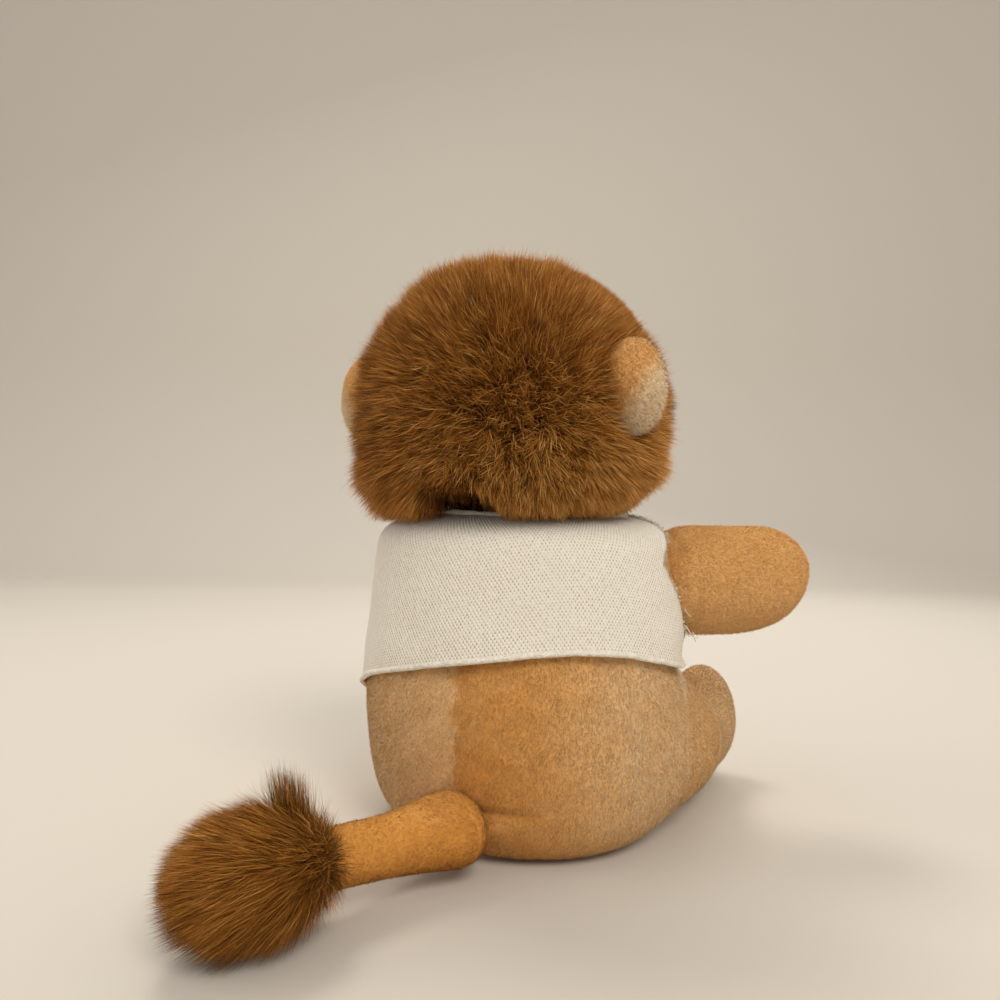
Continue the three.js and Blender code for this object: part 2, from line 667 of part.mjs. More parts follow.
for (const [side, word] of sides) {
  const round = degrees(EAR_ROUND);
  const root = new THREE.Vector3(
    side * (MANE_WIDTH / 2 - EAR_SINK) * Math.sin(round),
    maneCentre.y + (MANE_DEPTH / 2 - EAR_SINK) * Math.cos(round),
    headCentre.z - EAR_DROP,
  );
  const ear = placedGroup(head, `ear_${word}`, root);
  ear.rotation.z = side * degrees(EAR_FLARE);
  const size = new THREE.Vector3(EAR_BULGE, EAR_LENGTH, EAR_HEIGHT);
  const layer = (depth, grow = 0) =>
    ellipsoid(new THREE.Vector3(-side * depth, -EAR_LENGTH / 2, 0), size, grow, EAR_SIDES);
  const outOf = (depth) => room({ x: side > 0 ? [-depth, FAR] : [-FAR, depth] });
  const outerCup = layer(0).subtract(layer(EAR_LAYER)).intersect(outOf(EAR_RIM));
  const lining = layer(0, -SEAM)
    .intersect(layer(EAR_LAYER + SEAM, -SEAM))
    .subtract(layer(2 * EAR_LAYER + SEAM))
    .intersect(outOf(EAR_LAYER + EAR_RIM));
  addPiece(ear, `ear_${word}_back`, outerCup, "tan");
  addPiece(ear, `ear_${word}_lining`, lining, "cream");
  const swing = EAR_LENGTH * Math.sin(degrees(EAR_FOLD));
  const pocket = new THREE.SphereGeometry(1, EAR_SIDES, SOCKET_ROWS).rotateX(Math.PI / 2);
  pocket.scale(EAR_BULGE / 2 + EAR_ROOM + swing, EAR_LENGTH / 2 + EAR_ROOM, EAR_HEIGHT / 2 + EAR_ROOM);
  const earRoom = inLionFrame(ear, pocket.translate(0, -EAR_LENGTH / 2, 0));
  maneBack = maneBack.subtract(earRoom);
  ruff = ruff.subtract(earRoom);
}

addPiece(head, "mane_back", maneBack, "mane");
addPiece(head, "mane_ruff", ruff, "mane");

// Vest

const hemOutline = smooth(HEM_LINE.map(([y, drop]) => [y, BODY_HEIGHT - drop]), HEM_STEPS);

// Everything over the hem line raised by lift
function overHem(lift) {
  const shape = new THREE.Shape(hemOutline.map((point) => new THREE.Vector2(point.x, point.y + lift)));
  shape.lineTo(FAR, FAR);
  shape.lineTo(-FAR, FAR);
  const slab = new THREE.ExtrudeGeometry(shape, { depth: 2 * FAR, bevelEnabled: false });
  slab.translate(0, 0, -FAR).rotateX(Math.PI / 2).rotateZ(Math.PI / 2);
  const hinge = hemOutline[0].y;
  return solid(slab.translate(0, 0, -hinge).rotateY(degrees(HEM_ASKEW)).translate(0, 0, hinge));
}

const vestInside = bodyForm(-SEAM);
const neckOpening = new THREE.CylinderGeometry(NECK_OPENING, NECK_OPENING, FAR, SOCKET_SIDES);
vestCuts.push(solid(neckOpening.rotateX(Math.PI / 2).translate(0, 0, FAR / 2 + shoulderHeight)));
const knit = cutByAll(bodyForm(-SEAM - KNIT).subtract(vestInside), vestCuts);
const knitPanel = knit.intersect(overHem(HEM_BAND));
const hem = bodyForm(-SEAM - KNIT - HEM_PROUD)
  .subtract(vestInside)
  .intersect(overHem(0))
  .subtract(overHem(HEM_BAND - SEAM));
addPiece(torso, "vest_back", knitPanel.intersect(room({ y: behindSides })), "knit");
addPiece(torso, "vest_front", knitPanel.intersect(room({ y: [-FAR, SIDE_SEAM_Y - half] })), "knit");
addPiece(torso, "vest_hem", hem, "knit");

export default lion;
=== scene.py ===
"""A seated plush lion in a knitted vest: stuffed cloth forms, real strands of pile, and a knit sheet."""

import json
import math

import bpy
import numpy as np
from mathutils import Matrix, Vector
from mathutils.bvhtree import BVHTree
from mathutils.kdtree import KDTree


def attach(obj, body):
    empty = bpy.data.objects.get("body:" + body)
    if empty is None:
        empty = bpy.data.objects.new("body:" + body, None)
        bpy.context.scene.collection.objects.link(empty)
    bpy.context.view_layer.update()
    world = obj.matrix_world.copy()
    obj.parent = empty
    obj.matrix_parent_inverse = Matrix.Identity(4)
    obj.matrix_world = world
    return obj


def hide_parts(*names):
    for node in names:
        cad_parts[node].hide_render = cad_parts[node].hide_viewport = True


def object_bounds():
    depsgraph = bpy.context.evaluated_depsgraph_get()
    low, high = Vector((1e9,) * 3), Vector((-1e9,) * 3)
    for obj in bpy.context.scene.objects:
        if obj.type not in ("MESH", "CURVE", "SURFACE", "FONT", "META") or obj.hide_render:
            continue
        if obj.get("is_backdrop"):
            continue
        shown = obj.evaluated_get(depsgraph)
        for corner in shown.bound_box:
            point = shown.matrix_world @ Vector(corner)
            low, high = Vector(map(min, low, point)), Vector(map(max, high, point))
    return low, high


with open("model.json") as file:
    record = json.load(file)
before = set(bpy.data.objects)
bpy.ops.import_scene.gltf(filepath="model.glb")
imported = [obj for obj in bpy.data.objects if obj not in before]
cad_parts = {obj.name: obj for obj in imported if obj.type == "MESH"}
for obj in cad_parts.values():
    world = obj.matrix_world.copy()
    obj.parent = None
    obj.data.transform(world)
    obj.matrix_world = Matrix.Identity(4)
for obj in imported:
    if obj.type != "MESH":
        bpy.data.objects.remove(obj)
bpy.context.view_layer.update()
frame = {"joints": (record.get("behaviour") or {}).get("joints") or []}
MM = 0.001
SEED = 20
SIDES = ((1, "left"), (-1, "right"))

# The joints' places in millimetres; the left limbs' are mirrored for the right ones
PIVOTS = {joint["name"]: np.round(np.array(joint["pos_m"]) / MM, 3) for joint in frame["joints"]}
NECK = PIVOTS["head_turn"]
SHOULDER = PIVOTS["arm_left_swing"]
HIP = PIVOTS["leg_left_lift"]
TAIL_PIVOT = PIVOTS["tail_swing"]
EAR_PIVOT = PIVOTS["ear_left_fold"]


# Small helpers; lengths are in millimetres


def unit(v):
    return v / np.maximum(np.linalg.norm(v, axis=-1, keepdims=True), 1e-9)


def fade(x, start, end):
    """From 0 at start to 1 at end."""
    return np.clip((x - start) / (end - start), 0, 1)


def bell(x, middle, reach):
    """A smooth bump of height 1 at middle."""
    return np.exp(-(((x - middle) / reach) ** 2))


def flattened(v, normals):
    """Directions v laid down on a skin."""
    return unit(v - normals * (v * normals).sum(1, keepdims=True))


def mirror(v, side):
    """The left side's place or direction, on the side that is asked for."""
    return np.asarray(v) * [side, 1, 1]


def on_left(points):
    """Points with the right half folded over onto the left."""
    return np.abs(points) * [1, 0, 0] + points * [0, 1, 1]


def angles(count):
    return np.arange(count) * 2 * math.pi / count


def circle(count):
    """Directions round the Z axis."""
    return np.stack([np.cos(angles(count)), np.sin(angles(count)), np.zeros(count)], 1)


def upright_circle(count):
    """Directions round the Y axis."""
    return circle(count)[:, [0, 2, 1]]


def spline(points, steps):
    """Samples of a smooth line through points."""
    p = np.asarray(points, float)
    t = np.linspace(0, len(p) - 1, steps + 1)
    i = np.minimum(t.astype(int), len(p) - 2)
    f = (t - i)[:, None]
    before, here = p[np.maximum(i - 1, 0)], p[i]
    there, after = p[i + 1], p[np.minimum(i + 2, len(p) - 1)]
    slope_here, slope_there = (there - before) / 2, (after - here) / 2
    return (
        (2 * f**3 - 3 * f**2 + 1) * here
        + (f**3 - 2 * f**2 + f) * slope_here
        + (-2 * f**3 + 3 * f**2) * there
        + (f**3 - f**2) * slope_there
    )


NOISE_OCTAVES = (1.0, 2.1)
NOISE_WAVES = 5
NOISE_PEAK = 4.2


def noise(p, scale, seed):
    """Smooth noise from -1 to 1 at points p, with features about scale across."""
    rng = np.random.default_rng(seed)
    total = np.zeros(len(p))
    for octave in NOISE_OCTAVES:
        for _ in range(NOISE_WAVES):
            wave = unit(rng.normal(size=3)) * octave * 2 * math.pi / scale
            total += np.sin(p @ wave + rng.uniform(0, 2 * math.pi)) / octave
    return np.clip(total / NOISE_PEAK, -1, 1)


def spin_z(points, degrees):
    a = math.radians(degrees)
    turn = np.array([[math.cos(a), -math.sin(a), 0], [math.sin(a), math.cos(a), 0], [0, 0, 1]])
    return np.asarray(points, float) @ turn.T


def tip_x(points, degrees):
    a = math.radians(degrees)
    turn = np.array([[1, 0, 0], [0, math.cos(a), -math.sin(a)], [0, math.sin(a), math.cos(a)]])
    return np.asarray(points, float) @ turn.T


def in_ellipsoid(points, centre, radii, room=0.0):
    return np.linalg.norm((points - centre) / (np.array(radii) + room), axis=1) < 1


def smooth_union(a, b, melt):
    h = np.clip(0.5 + 0.5 * (b - a) / melt, 0, 1)
    return b * (1 - h) + a * h - melt * h * (1 - h)


def reach_inside(field, ways, centre, far, rounds):
    """How far each direction from centre stays inside the field."""
    low, high = np.zeros(len(ways)), np.full(len(ways), far)
    for _ in range(rounds):
        middle = (low + high) / 2
        inside = field(ways * middle[:, None] + centre) < 0
        low, high = np.where(inside, middle, low), np.where(inside, high, middle)
    return low


def linked(name, data):
    obj = bpy.data.objects.new(name, data)
    bpy.context.scene.collection.objects.link(obj)
    return obj


def dress(obj, body, slot, *nodes, fill=None):
    """Ties a piece to its body and hides the nodes it stands for; slot is not used, and fill is not used."""
    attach(obj, body)
    if nodes:
        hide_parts(*nodes)
    return obj


class Skin:
    """A triangle surface in millimetres, with outward normals."""

    def __init__(self, verts, faces):
        self.verts = np.asarray(verts, float)
        self.quads = faces
        fans = [(f[0], f[k], f[k + 1]) for f in faces for k in range(1, len(f) - 1)]
        self.tris = np.array([fan for fan in fans if len(set(fan)) == 3])
        self.shape()

    def shape(self):
        a, b, c = (self.verts[self.tris[:, k]] for k in range(3))
        cross = np.cross(b - a, c - a)
        self.areas = np.linalg.norm(cross, axis=1) / 2
        normals = np.zeros_like(self.verts)
        for k in range(3):
            np.add.at(normals, self.tris[:, k], cross)
        self.normals = unit(normals)

    def sample(self, per_mm2, rng, keep=None):
        """Random points on the surface and their normals; keep(points, normals) gives each one's chance."""
        count = rng.poisson(self.areas * per_mm2)
        which = np.repeat(np.arange(len(self.tris)), count)
        u, v = rng.random((2, len(which)))
        flip = u + v > 1
        u[flip], v[flip] = 1 - u[flip], 1 - v[flip]
        w = np.stack([1 - u - v, u, v], 1)[:, :, None]
        points = (self.verts[self.tris[which]] * w).sum(1)
        normals = unit((self.normals[self.tris[which]] * w).sum(1))
        if keep is not None:
            chosen = rng.random(len(points)) < keep(points, normals)
            points, normals = points[chosen], normals[chosen]
        return points, normals

    def flipped(self):
        return Skin(self.verts, [tuple(reversed(f)) for f in self.quads])

    def mirrored(self):
        return Skin(mirror(self.verts, -1), self.quads).flipped()

    def placed(self, place):
        return Skin(place(self.verts), self.quads)

    def tree(self):
        return BVHTree.FromPolygons(self.verts.tolist(), self.tris.tolist())

    def object(self, name, material, tone=None):
        mesh = bpy.data.meshes.new(name)
        clean = [[i for k, i in enumerate(f) if i != f[k - 1]] for f in self.quads]
        mesh.from_pydata((self.verts * MM).tolist(), [], [f for f in clean if len(f) > 2])
        mesh.polygons.foreach_set("use_smooth", [True] * len(mesh.polygons))
        mesh.materials.append(material)
        if tone is not None:
            layer = mesh.attributes.new("tone", "FLOAT", "POINT")
            layer.data.foreach_set("value", tone(self.verts).astype(np.float32))
        return linked(name, mesh)


def rings(stack):
    """A skin over rings of points; a ring of one point is a pole."""
    verts, faces, starts = [], [], []
    for ring in stack:
        starts.append((len(verts), len(ring)))
        verts.extend(ring)
    for (a, na), (b, nb) in zip(starts, starts[1:]):
        n = max(na, nb)
        for j in range(n):
            k = (j + 1) % n
            faces.append((a + j % na, a + k % na, b + k % nb, b + j % nb))
    return Skin(np.array(verts), faces)


def ellipsoid(centre, radii, columns, rows):
    stack = [np.array([[0, 0, -1.0]])]
    for a in np.linspace(-math.pi / 2, math.pi / 2, rows + 1)[1:-1]:
        stack.append(circle(columns) * math.cos(a) + [0, 0, math.sin(a)])
    stack.append(np.array([[0, 0, 1.0]]))
    return rings([ring * radii + centre for ring in stack])


def tube(path, radius, sides):
    """A skin round a line of points; radius is one number or one for each point."""
    path = np.asarray(path, float)
    radius = np.broadcast_to(radius, len(path))
    way = unit(np.gradient(path, axis=0))
    up = np.tile([0.0, 0.0, 1.0], (len(path), 1))
    up[np.abs(way[:, 2]) > 0.9] = [0, 1, 0]
    a = unit(np.cross(way, up))
    b = np.cross(a, way)
    theta = angles(sides)[:, None]
    stack = [p + r * (np.cos(theta) * x + np.sin(theta) * y) for p, x, y, r in zip(path, a, b, radius)]
    return rings([path[:1], *stack, path[-1:]])


PLUMP_FRAMES = 16
PLUMP_QUALITY = 4
PLUMP_SMOOTHING = 12


def plump(skin, pinned, pressure, cap):
    """The cloth swells under the pressure of its filling between the seams that hold it."""
    scene = bpy.context.scene
    obj = skin.object("plump_work", bpy.data.materials.new("plump_work"))
    group = obj.vertex_groups.new(name="seams")
    group.add([int(i) for i in np.flatnonzero(pinned)], 1.0, "REPLACE")
    cloth = obj.modifiers.new("plump", "CLOTH")
    cloth.settings.quality = PLUMP_QUALITY
    cloth.settings.use_pressure = True
    cloth.settings.uniform_pressure_force = pressure
    cloth.settings.vertex_group_mass = "seams"
    cloth.settings.effector_weights.gravity = 0
    scene.frame_start, scene.frame_end = 1, PLUMP_FRAMES
    for f in range(1, PLUMP_FRAMES + 1):
        scene.frame_set(f)
    evaluated = obj.evaluated_get(bpy.context.evaluated_depsgraph_get())
    found = np.zeros(len(skin.verts) * 3)
    evaluated.data.vertices.foreach_get("co", found)
    scene.frame_set(1)
    mesh = obj.data
    bpy.data.objects.remove(obj)
    bpy.data.meshes.remove(mesh)
    move = found.reshape(-1, 3) / MM - skin.verts
    edges = np.array([(a, b) for f in skin.quads for a, b in zip(f, f[1:] + f[:1]) if a != b])
    edges = np.concatenate([edges, edges[:, ::-1]])
    count = 1 + np.bincount(edges[:, 0], minlength=len(move))[:, None]
    for _ in range(PLUMP_SMOOTHING):
        total = move.copy()
        np.add.at(total, edges[:, 0], move[edges[:, 1]])
        move = total / count
    far = np.linalg.norm(move, axis=1, keepdims=True)
    skin.verts = skin.verts + move * np.minimum(1, cap / np.maximum(far, 1e-6))
    skin.shape()
    return skin


# Materials


def nodes_of(name, roughness, specular):
    material = bpy.data.materials.new(name)
    material.use_nodes = True
    tree = material.node_tree
    shader = tree.nodes["Principled BSDF"]
    shader.inputs["Roughness"].default_value = roughness
    shader.inputs["Specular IOR Level"].default_value = specular
    return material, tree, shader


def linear(rgb):
    c = np.array(rgb, float) / 255
    return tuple(np.where(c <= 0.04045, c / 12.92, ((c + 0.055) / 1.055) ** 2.4)) + (1.0,)


def ramp(tree, stops, socket):
    node = tree.nodes.new("ShaderNodeValToRGB")
    while len(node.color_ramp.elements) < len(stops):
        node.color_ramp.elements.new(0.5)
    for element, (place, rgb) in zip(node.color_ramp.elements, stops):
        element.position = place
        element.color = linear(rgb)
    tree.links.new(socket, node.inputs["Fac"])
    return node.outputs["Color"]


def math_node(tree, operation, a, b=None):
    node = tree.nodes.new("ShaderNodeMath")
    node.operation = operation
    for socket, value in zip(node.inputs, (a, b)):
        if isinstance(value, (int, float)):
            socket.default_value = value
        elif value is not None:
            tree.links.new(value, socket)
    return node.outputs[0]


def vector_node(tree, operation):
    node = tree.nodes.new("ShaderNodeVectorMath")
    node.operation = operation
    return node


def noise_node(tree, scale, detail=2):
    """Noise in the piece's own coordinates."""
    place = tree.nodes.new("ShaderNodeTexCoord")
    node = tree.nodes.new("ShaderNodeTexNoise")
    node.inputs["Scale"].default_value = scale
    node.inputs["Detail"].default_value = detail
    tree.links.new(place.outputs["Object"], node.inputs["Vector"])
    return node.outputs["Fac"]


def add_bump(tree, shader, height, strength, distance):
    node = tree.nodes.new("ShaderNodeBump")
    node.inputs["Strength"].default_value = strength
    node.inputs["Distance"].default_value = distance
    tree.links.new(height, node.inputs["Height"])
    tree.links.new(node.outputs["Normal"], shader.inputs["Normal"])


def map_axes(tree):
    """The two axes of the piece's own map."""
    uv = tree.nodes.new("ShaderNodeUVMap")
    uv.uv_map = "OFBake"
    split = tree.nodes.new("ShaderNodeSeparateXYZ")
    tree.links.new(uv.outputs["UV"], split.inputs[0])
    return split.outputs["X"], split.outputs["Y"]


def outward_normal(tree, seen):
    """A strand takes the normal of the skin it grows from, turned partly to its side that is seen."""
    place = tree.nodes.new("ShaderNodeNewGeometry")
    turn = math_node(tree, "SUBTRACT", 1.0, math_node(tree, "MULTIPLY", place.outputs["Backfacing"], 2.0))
    keep = vector_node(tree, "SCALE")
    tree.links.new(place.outputs["Normal"], keep.inputs["Vector"])
    tree.links.new(turn, keep.inputs["Scale"])
    blend = vector_node(tree, "MULTIPLY_ADD")
    tree.links.new(place.outputs["True Normal"], blend.inputs[0])
    blend.inputs[1].default_value = (seen,) * 3
    tree.links.new(keep.outputs["Vector"], blend.inputs[2])
    even = vector_node(tree, "NORMALIZE")
    tree.links.new(blend.outputs["Vector"], even.inputs[0])
    return even.outputs["Vector"]


PILE_SPECULAR = 0.12
PILE_SHEEN_ROUGHNESS = 0.5
ROOT_SHADE_REACH = 0.75
WHITE = (255, 255, 255)


def pile_material(name, stops, root_shade, roughness, sheen, seen=0.7):
    """Strands: tone across the map, root to tip up the map."""
    material, tree, shader = nodes_of(name, roughness, PILE_SPECULAR)
    across, upward = map_axes(tree)
    tone = ramp(tree, stops, across)
    shade = ramp(tree, [(0.0, (root_shade,) * 3), (ROOT_SHADE_REACH, WHITE)], upward)
    mix = tree.nodes.new("ShaderNodeMix")
    mix.data_type = "RGBA"
    mix.blend_type = "MULTIPLY"
    mix.inputs["Factor"].default_value = 1.0
    tree.links.new(tone, mix.inputs["A"])
    tree.links.new(shade, mix.inputs["B"])
    tree.links.new(mix.outputs["Result"], shader.inputs["Base Color"])
    tree.links.new(outward_normal(tree, seen), shader.inputs["Normal"])
    shader.inputs["Sheen Weight"].default_value = sheen
    shader.inputs["Sheen Roughness"].default_value = PILE_SHEEN_ROUGHNESS
    return material


CLOTH_ROUGHNESS = 0.95
CLOTH_SPECULAR = 0.1
CLOTH_DETAIL = 6
CLOTH_SWING = 0.3
TUFT_SCALE = 900


def cloth_material(name, stops, scale, bump, toned=False):
    """The backing cloth under a pile: mottled and finely tufted. Toned cloth has a tone at each point."""
    material, tree, shader = nodes_of(name, CLOTH_ROUGHNESS, CLOTH_SPECULAR)
    level = noise_node(tree, scale, CLOTH_DETAIL)
    if toned:
        tone = tree.nodes.new("ShaderNodeAttribute")
        tone.attribute_name = "tone"
        swing = math_node(tree, "MULTIPLY", math_node(tree, "SUBTRACT", level, 0.5), CLOTH_SWING)
        level = math_node(tree, "ADD", tone.outputs["Fac"], swing)
    tree.links.new(ramp(tree, stops, level), shader.inputs["Base Color"])
    add_bump(tree, shader, noise_node(tree, TUFT_SCALE), bump, 0.001)
    return material


def gloss_material(name, rgb, roughness):
    """Moulded plastic with a faint grain."""
    material, tree, shader = nodes_of(name, roughness, 0.5)
    grain = noise_node(tree, 700)
    lighter = tuple(min(255, c + 14) for c in rgb)
    tree.links.new(ramp(tree, [(0.2, rgb), (0.8, lighter)], grain), shader.inputs["Base Color"])
    add_bump(tree, shader, grain, 0.12, 0.0004)
    return material


PLUSH_TONES = [
    (0.0, (172, 108, 40)), (0.25, (212, 146, 70)), (0.5, (224, 170, 108)),
    (0.75, (232, 194, 146)), (1.0, (246, 226, 196)),
]
MANE_TONES = [
    (0.0, (58, 34, 12)), (0.25, (116, 68, 20)), (0.5, (160, 98, 32)),
    (0.75, (196, 130, 54)), (1.0, (232, 178, 106)),
]
plush_pile = pile_material("plush_pile", PLUSH_TONES, 180, 0.85, 0.1)
mane_pile = pile_material("mane_pile", MANE_TONES, 75, 0.6, 0.0)
plush_cloth = cloth_material("plush_cloth", PLUSH_TONES, 90, 0.6, toned=True)
mane_cloth = cloth_material("mane_cloth", [(0.3, (44, 27, 14)), (0.7, (74, 45, 20))], 80, 0.8)


# Pile: every strand is a thin tapered blade that lies in its nap's direction

STRAND_TAPER = 0.75
STRAND_TAPER_POWER = 1.3
STRAND_TONE_SPREAD = 0.012
FLOOR_GAP = 0.3
TONE_RANGE = (0.02, 0.98)


def strand_paths(root, start, end, length, steps):
    path = [root]
    for i in range(steps):
        f = (i + 0.5) / steps
        path.append(path[-1] + unit(start * (1 - f) + end * f) * (length / steps)[:, None])
    return path


def clump(path, per_clump, strength, rng):
    """Draws the tips of neighbouring strands together."""
    n = len(path[0])
    leaders = rng.choice(n, max(1, n // per_clump), replace=False)
    tree = KDTree(len(leaders))
    for i, leader in enumerate(leaders):
        tree.insert(path[0][leader], i)
    tree.balance()
    nearest = leaders[[tree.find(p)[1] for p in path[0]]]
    steps = len(path) - 1
    pull = strength * rng.uniform(0.6, 1.0, n)
    lead = [level[nearest] for level in path]
    for k in range(1, steps + 1):
        share = (pull * (k / steps) ** 1.5)[:, None]
        path[k] = path[k] * (1 - share) + lead[k] * share
    return path


def strand_faces(strands, steps):
    """Triangles of all strands, each a row of quads that ends in a point."""
    blade = []
    for k in range(0, 2 * steps - 2, 2):
        blade += [(k, k + 1, k + 3), (k, k + 3, k + 2)]
    blade.append((2 * steps - 2, 2 * steps - 1, 2 * steps))
    return (np.arange(strands)[:, None, None] * (2 * steps + 1) + np.array(blade)[None]).reshape(-1, 3)


def strand_mesh(name, verts, uv, tris):
    mesh = bpy.data.meshes.new(name)
    mesh.vertices.add(len(verts))
    mesh.vertices.foreach_set("co", verts.astype(np.float32).ravel())
    mesh.loops.add(tris.size)
    mesh.loops.foreach_set("vertex_index", tris.astype(np.int32).ravel())
    mesh.polygons.add(len(tris))
    mesh.polygons.foreach_set("loop_start", np.arange(0, tris.size, 3, dtype=np.int32))
    mesh.polygons.foreach_set("use_smooth", np.ones(len(tris), bool))
    layer = mesh.uv_layers.new(name="OFBake")
    layer.data.foreach_set("uv", uv[tris.ravel()].astype(np.float32).ravel())
    mesh.update(calc_edges=True)
    return mesh


def strand_object(name, path, normals, width, tone, rng, material, body, slot, soften=0.5, turn=0.6,
                  bright=1.0):
    """One piece of strands; soften is how far their shading follows the skin, turn how far they twist."""
    steps, n = len(path) - 1, len(path[0])
    along = unit(path[-1] - path[0])
    flat = unit(np.cross(along, normals) + 1e-6)
    up = np.cross(flat, along)
    twist = rng.normal(0, turn, n)[:, None]
    side = flat * np.cos(twist) + up * np.sin(twist)
    face = unit(np.cross(side, along))
    face *= np.where((face * normals).sum(1, keepdims=True) < 0, -1, 1)
    bright = np.broadcast_to(bright, n)
    count = 2 * steps + 1
    verts = np.empty((n, count, 3))
    uv = np.empty((n, count, 2))
    for k in range(steps):
        half = (width * (1 - STRAND_TAPER * (k / steps) ** STRAND_TAPER_POWER) / 2)[:, None]
        for edge, way in ((0, -1), (1, 1)):
            verts[:, 2 * k + edge] = path[k] + way * side * half
            uv[:, 2 * k + edge] = np.stack([tone + way * STRAND_TONE_SPREAD, bright * k / steps], 1)
    verts[:, -1] = path[-1]
    uv[:, -1] = np.stack([tone, bright], 1)
    verts[:, :, 2] = np.maximum(verts[:, :, 2], FLOOR_GAP)
    mesh = strand_mesh(name, verts.reshape(-1, 3) * MM, uv.reshape(-1, 2), strand_faces(n, steps))
    shaded = unit(normals * soften + face * (1 - soften))
    mesh.normals_split_custom_set_from_vertices(np.repeat(shaded, count, axis=0))
    mesh.materials.append(material)
    return dress(linked(name, mesh), body, slot)


PLUSH_LENGTH = 2.1
PLUSH_DENSITY = 6.5
PLUSH_LENGTH_SPREAD = (0.7, 1.15)
PLUSH_WIDTH = (0.2, 0.36)
PLUSH_ROOT = 0.4
PLUSH_STRAY = 0.45
PLUSH_WAVE = 0.25
PLUSH_WAVE_SIZE = 16
PLUSH_TILT_SIZE = 11
PLUSH_TILT_RANGE = (0.2, 0.9)
PLUSH_PATCH_SIZE = 9
PLUSH_GRAIN_SIZE = 2.0
PLUSH_GRAIN_DRAWN = 0.45
PLUSH_BRIGHT_RANGE = (0.0, 1.2)
PLUSH_CLUMP = (6, 0.25)
PLUSH_SOFTEN = 0.8
PLUSH_TURN = 1.0


def short_pile(name, skin, nap, body, slot, tone, length=PLUSH_LENGTH, keep=None, seed=0, lean=0.6,
               mottle=0.08, light=0.98):
    """Plush: short strands that lie over along the nap. tone(points) is each strand's place in the tones."""
    rng = np.random.default_rng(SEED + seed)
    points, normals = skin.sample(PLUSH_DENSITY, rng, keep)
    n = len(points)
    comb = flattened(nap(points, normals), normals)
    across = np.cross(normals, comb)
    stray = unit(across) * rng.normal(0, PLUSH_STRAY, n)[:, None]
    wave = noise(points, PLUSH_WAVE_SIZE, seed + 5)[:, None] * across * PLUSH_WAVE
    tilt = lean + 0.05 * noise(points, PLUSH_TILT_SIZE, seed + 6) + rng.normal(0, 0.1, n)
    tilt = np.clip(tilt, *PLUSH_TILT_RANGE)[:, None]
    start = unit(normals * (1 - tilt) + (comb + stray + wave) * tilt)
    drawn = points - PLUSH_GRAIN_DRAWN * comb * (points * comb).sum(1, keepdims=True)
    grain = noise(drawn, PLUSH_GRAIN_SIZE, seed + 8)
    size = length(points) if callable(length) else length
    size = size * rng.uniform(*PLUSH_LENGTH_SPREAD, n) * (1 + 0.15 * grain)
    path = strand_paths(points - normals * PLUSH_ROOT, start, start, size, 1)
    path = clump(path, *PLUSH_CLUMP, rng)
    width = rng.uniform(*PLUSH_WIDTH, n)
    patch = noise(points, PLUSH_PATCH_SIZE, seed + 7)
    shade = np.clip(tone(points) + mottle * (0.5 * patch + rng.normal(0, 1.0, n)), *TONE_RANGE)
    bright = light + 2.5 * mottle * (0.25 * patch + 1.5 * grain) + rng.normal(0, 0.1, n)
    bright = np.clip(bright, *PLUSH_BRIGHT_RANGE)
    return strand_object(name, path, normals, width, shade, rng, plush_pile, body, slot,
                         PLUSH_SOFTEN, PLUSH_TURN, bright)


# Torso: four sewn panels, swollen between the seams

# The outline is [radius, height], and the depth is a share of the width
BODY_RADIUS = 75.0
BODY_DEPTH_SHARE = 132 / 150
BODY_OUTLINE = [
    (48, 0), (61.5, 6.4), (70.5, 21.5), (BODY_RADIUS, 48.6), (BODY_RADIUS, 77.2), (72.4, 104.4),
    (69.4, 124.4), (62.25, 135.9), (41.25, 141.6), (0, 143),
]
BODY_LINE = spline(BODY_OUTLINE, 60)
CLOTH_INSET = 1.2
HAUNCH_CENTRE = (48.0, -36.0, 37.0)
HAUNCH_RADII = (34.5, 44.0, 30.0)
HAUNCH_MELT = 18.0
WAIST_HEIGHT = 86.0
WAIST_DEPTH = 1.7
WAIST_REACH = 12.0
PINCH_ANGLE = -151.0
PINCH_SPREAD = 26.0
PINCH_HEIGHT = 81.0
PINCH_REACH = 9.0
PINCH_DEPTH = 5.5

TORSO_COLUMNS = 120
TORSO_ROWS = 64
SEAT_RINGS = (20, 36)
BACK_SEAM = 90.0
SIDE_SEAM = -7.5
SEAM_GROOVES = {BACK_SEAM: 1.6, SIDE_SEAM: 0.7, -180 - SIDE_SEAM: 0.7}
SEAM_WIDTH = 1.2
SEAM_REACH = 4.0
DEGREES_PER_RADIAN = 57
# A crease over the tail's root, on the right of the back seam, with a bulge under it
CREASE_HEIGHT = 23.0
CREASE_DEPTH = 3.0
CREASE_REACH = 2.6
CREASE_SLOPE = 0.06
CREASE_START = (84, 90)
CREASE_END = (122, 96)
BULGE_SHARE = 0.45
BULGE_DROP = 8.0
BULGE_REACH = 5.0
SEAT_SEAM_HEIGHT = 2.0
NECK_SEAM_HEIGHT = 125.0


def vest_pinch(p):
    """Depth of the dent that the tight vest makes under the right arm."""
    turn = np.degrees(np.arctan2(p[:, 1] / BODY_DEPTH_SHARE, p[:, 0])) - PINCH_ANGLE
    beside = ((turn + 180) % 360 - 180) / PINCH_SPREAD
    return PINCH_DEPTH * np.exp(-(beside**2) - ((p[:, 2] - PINCH_HEIGHT) / PINCH_REACH) ** 2)


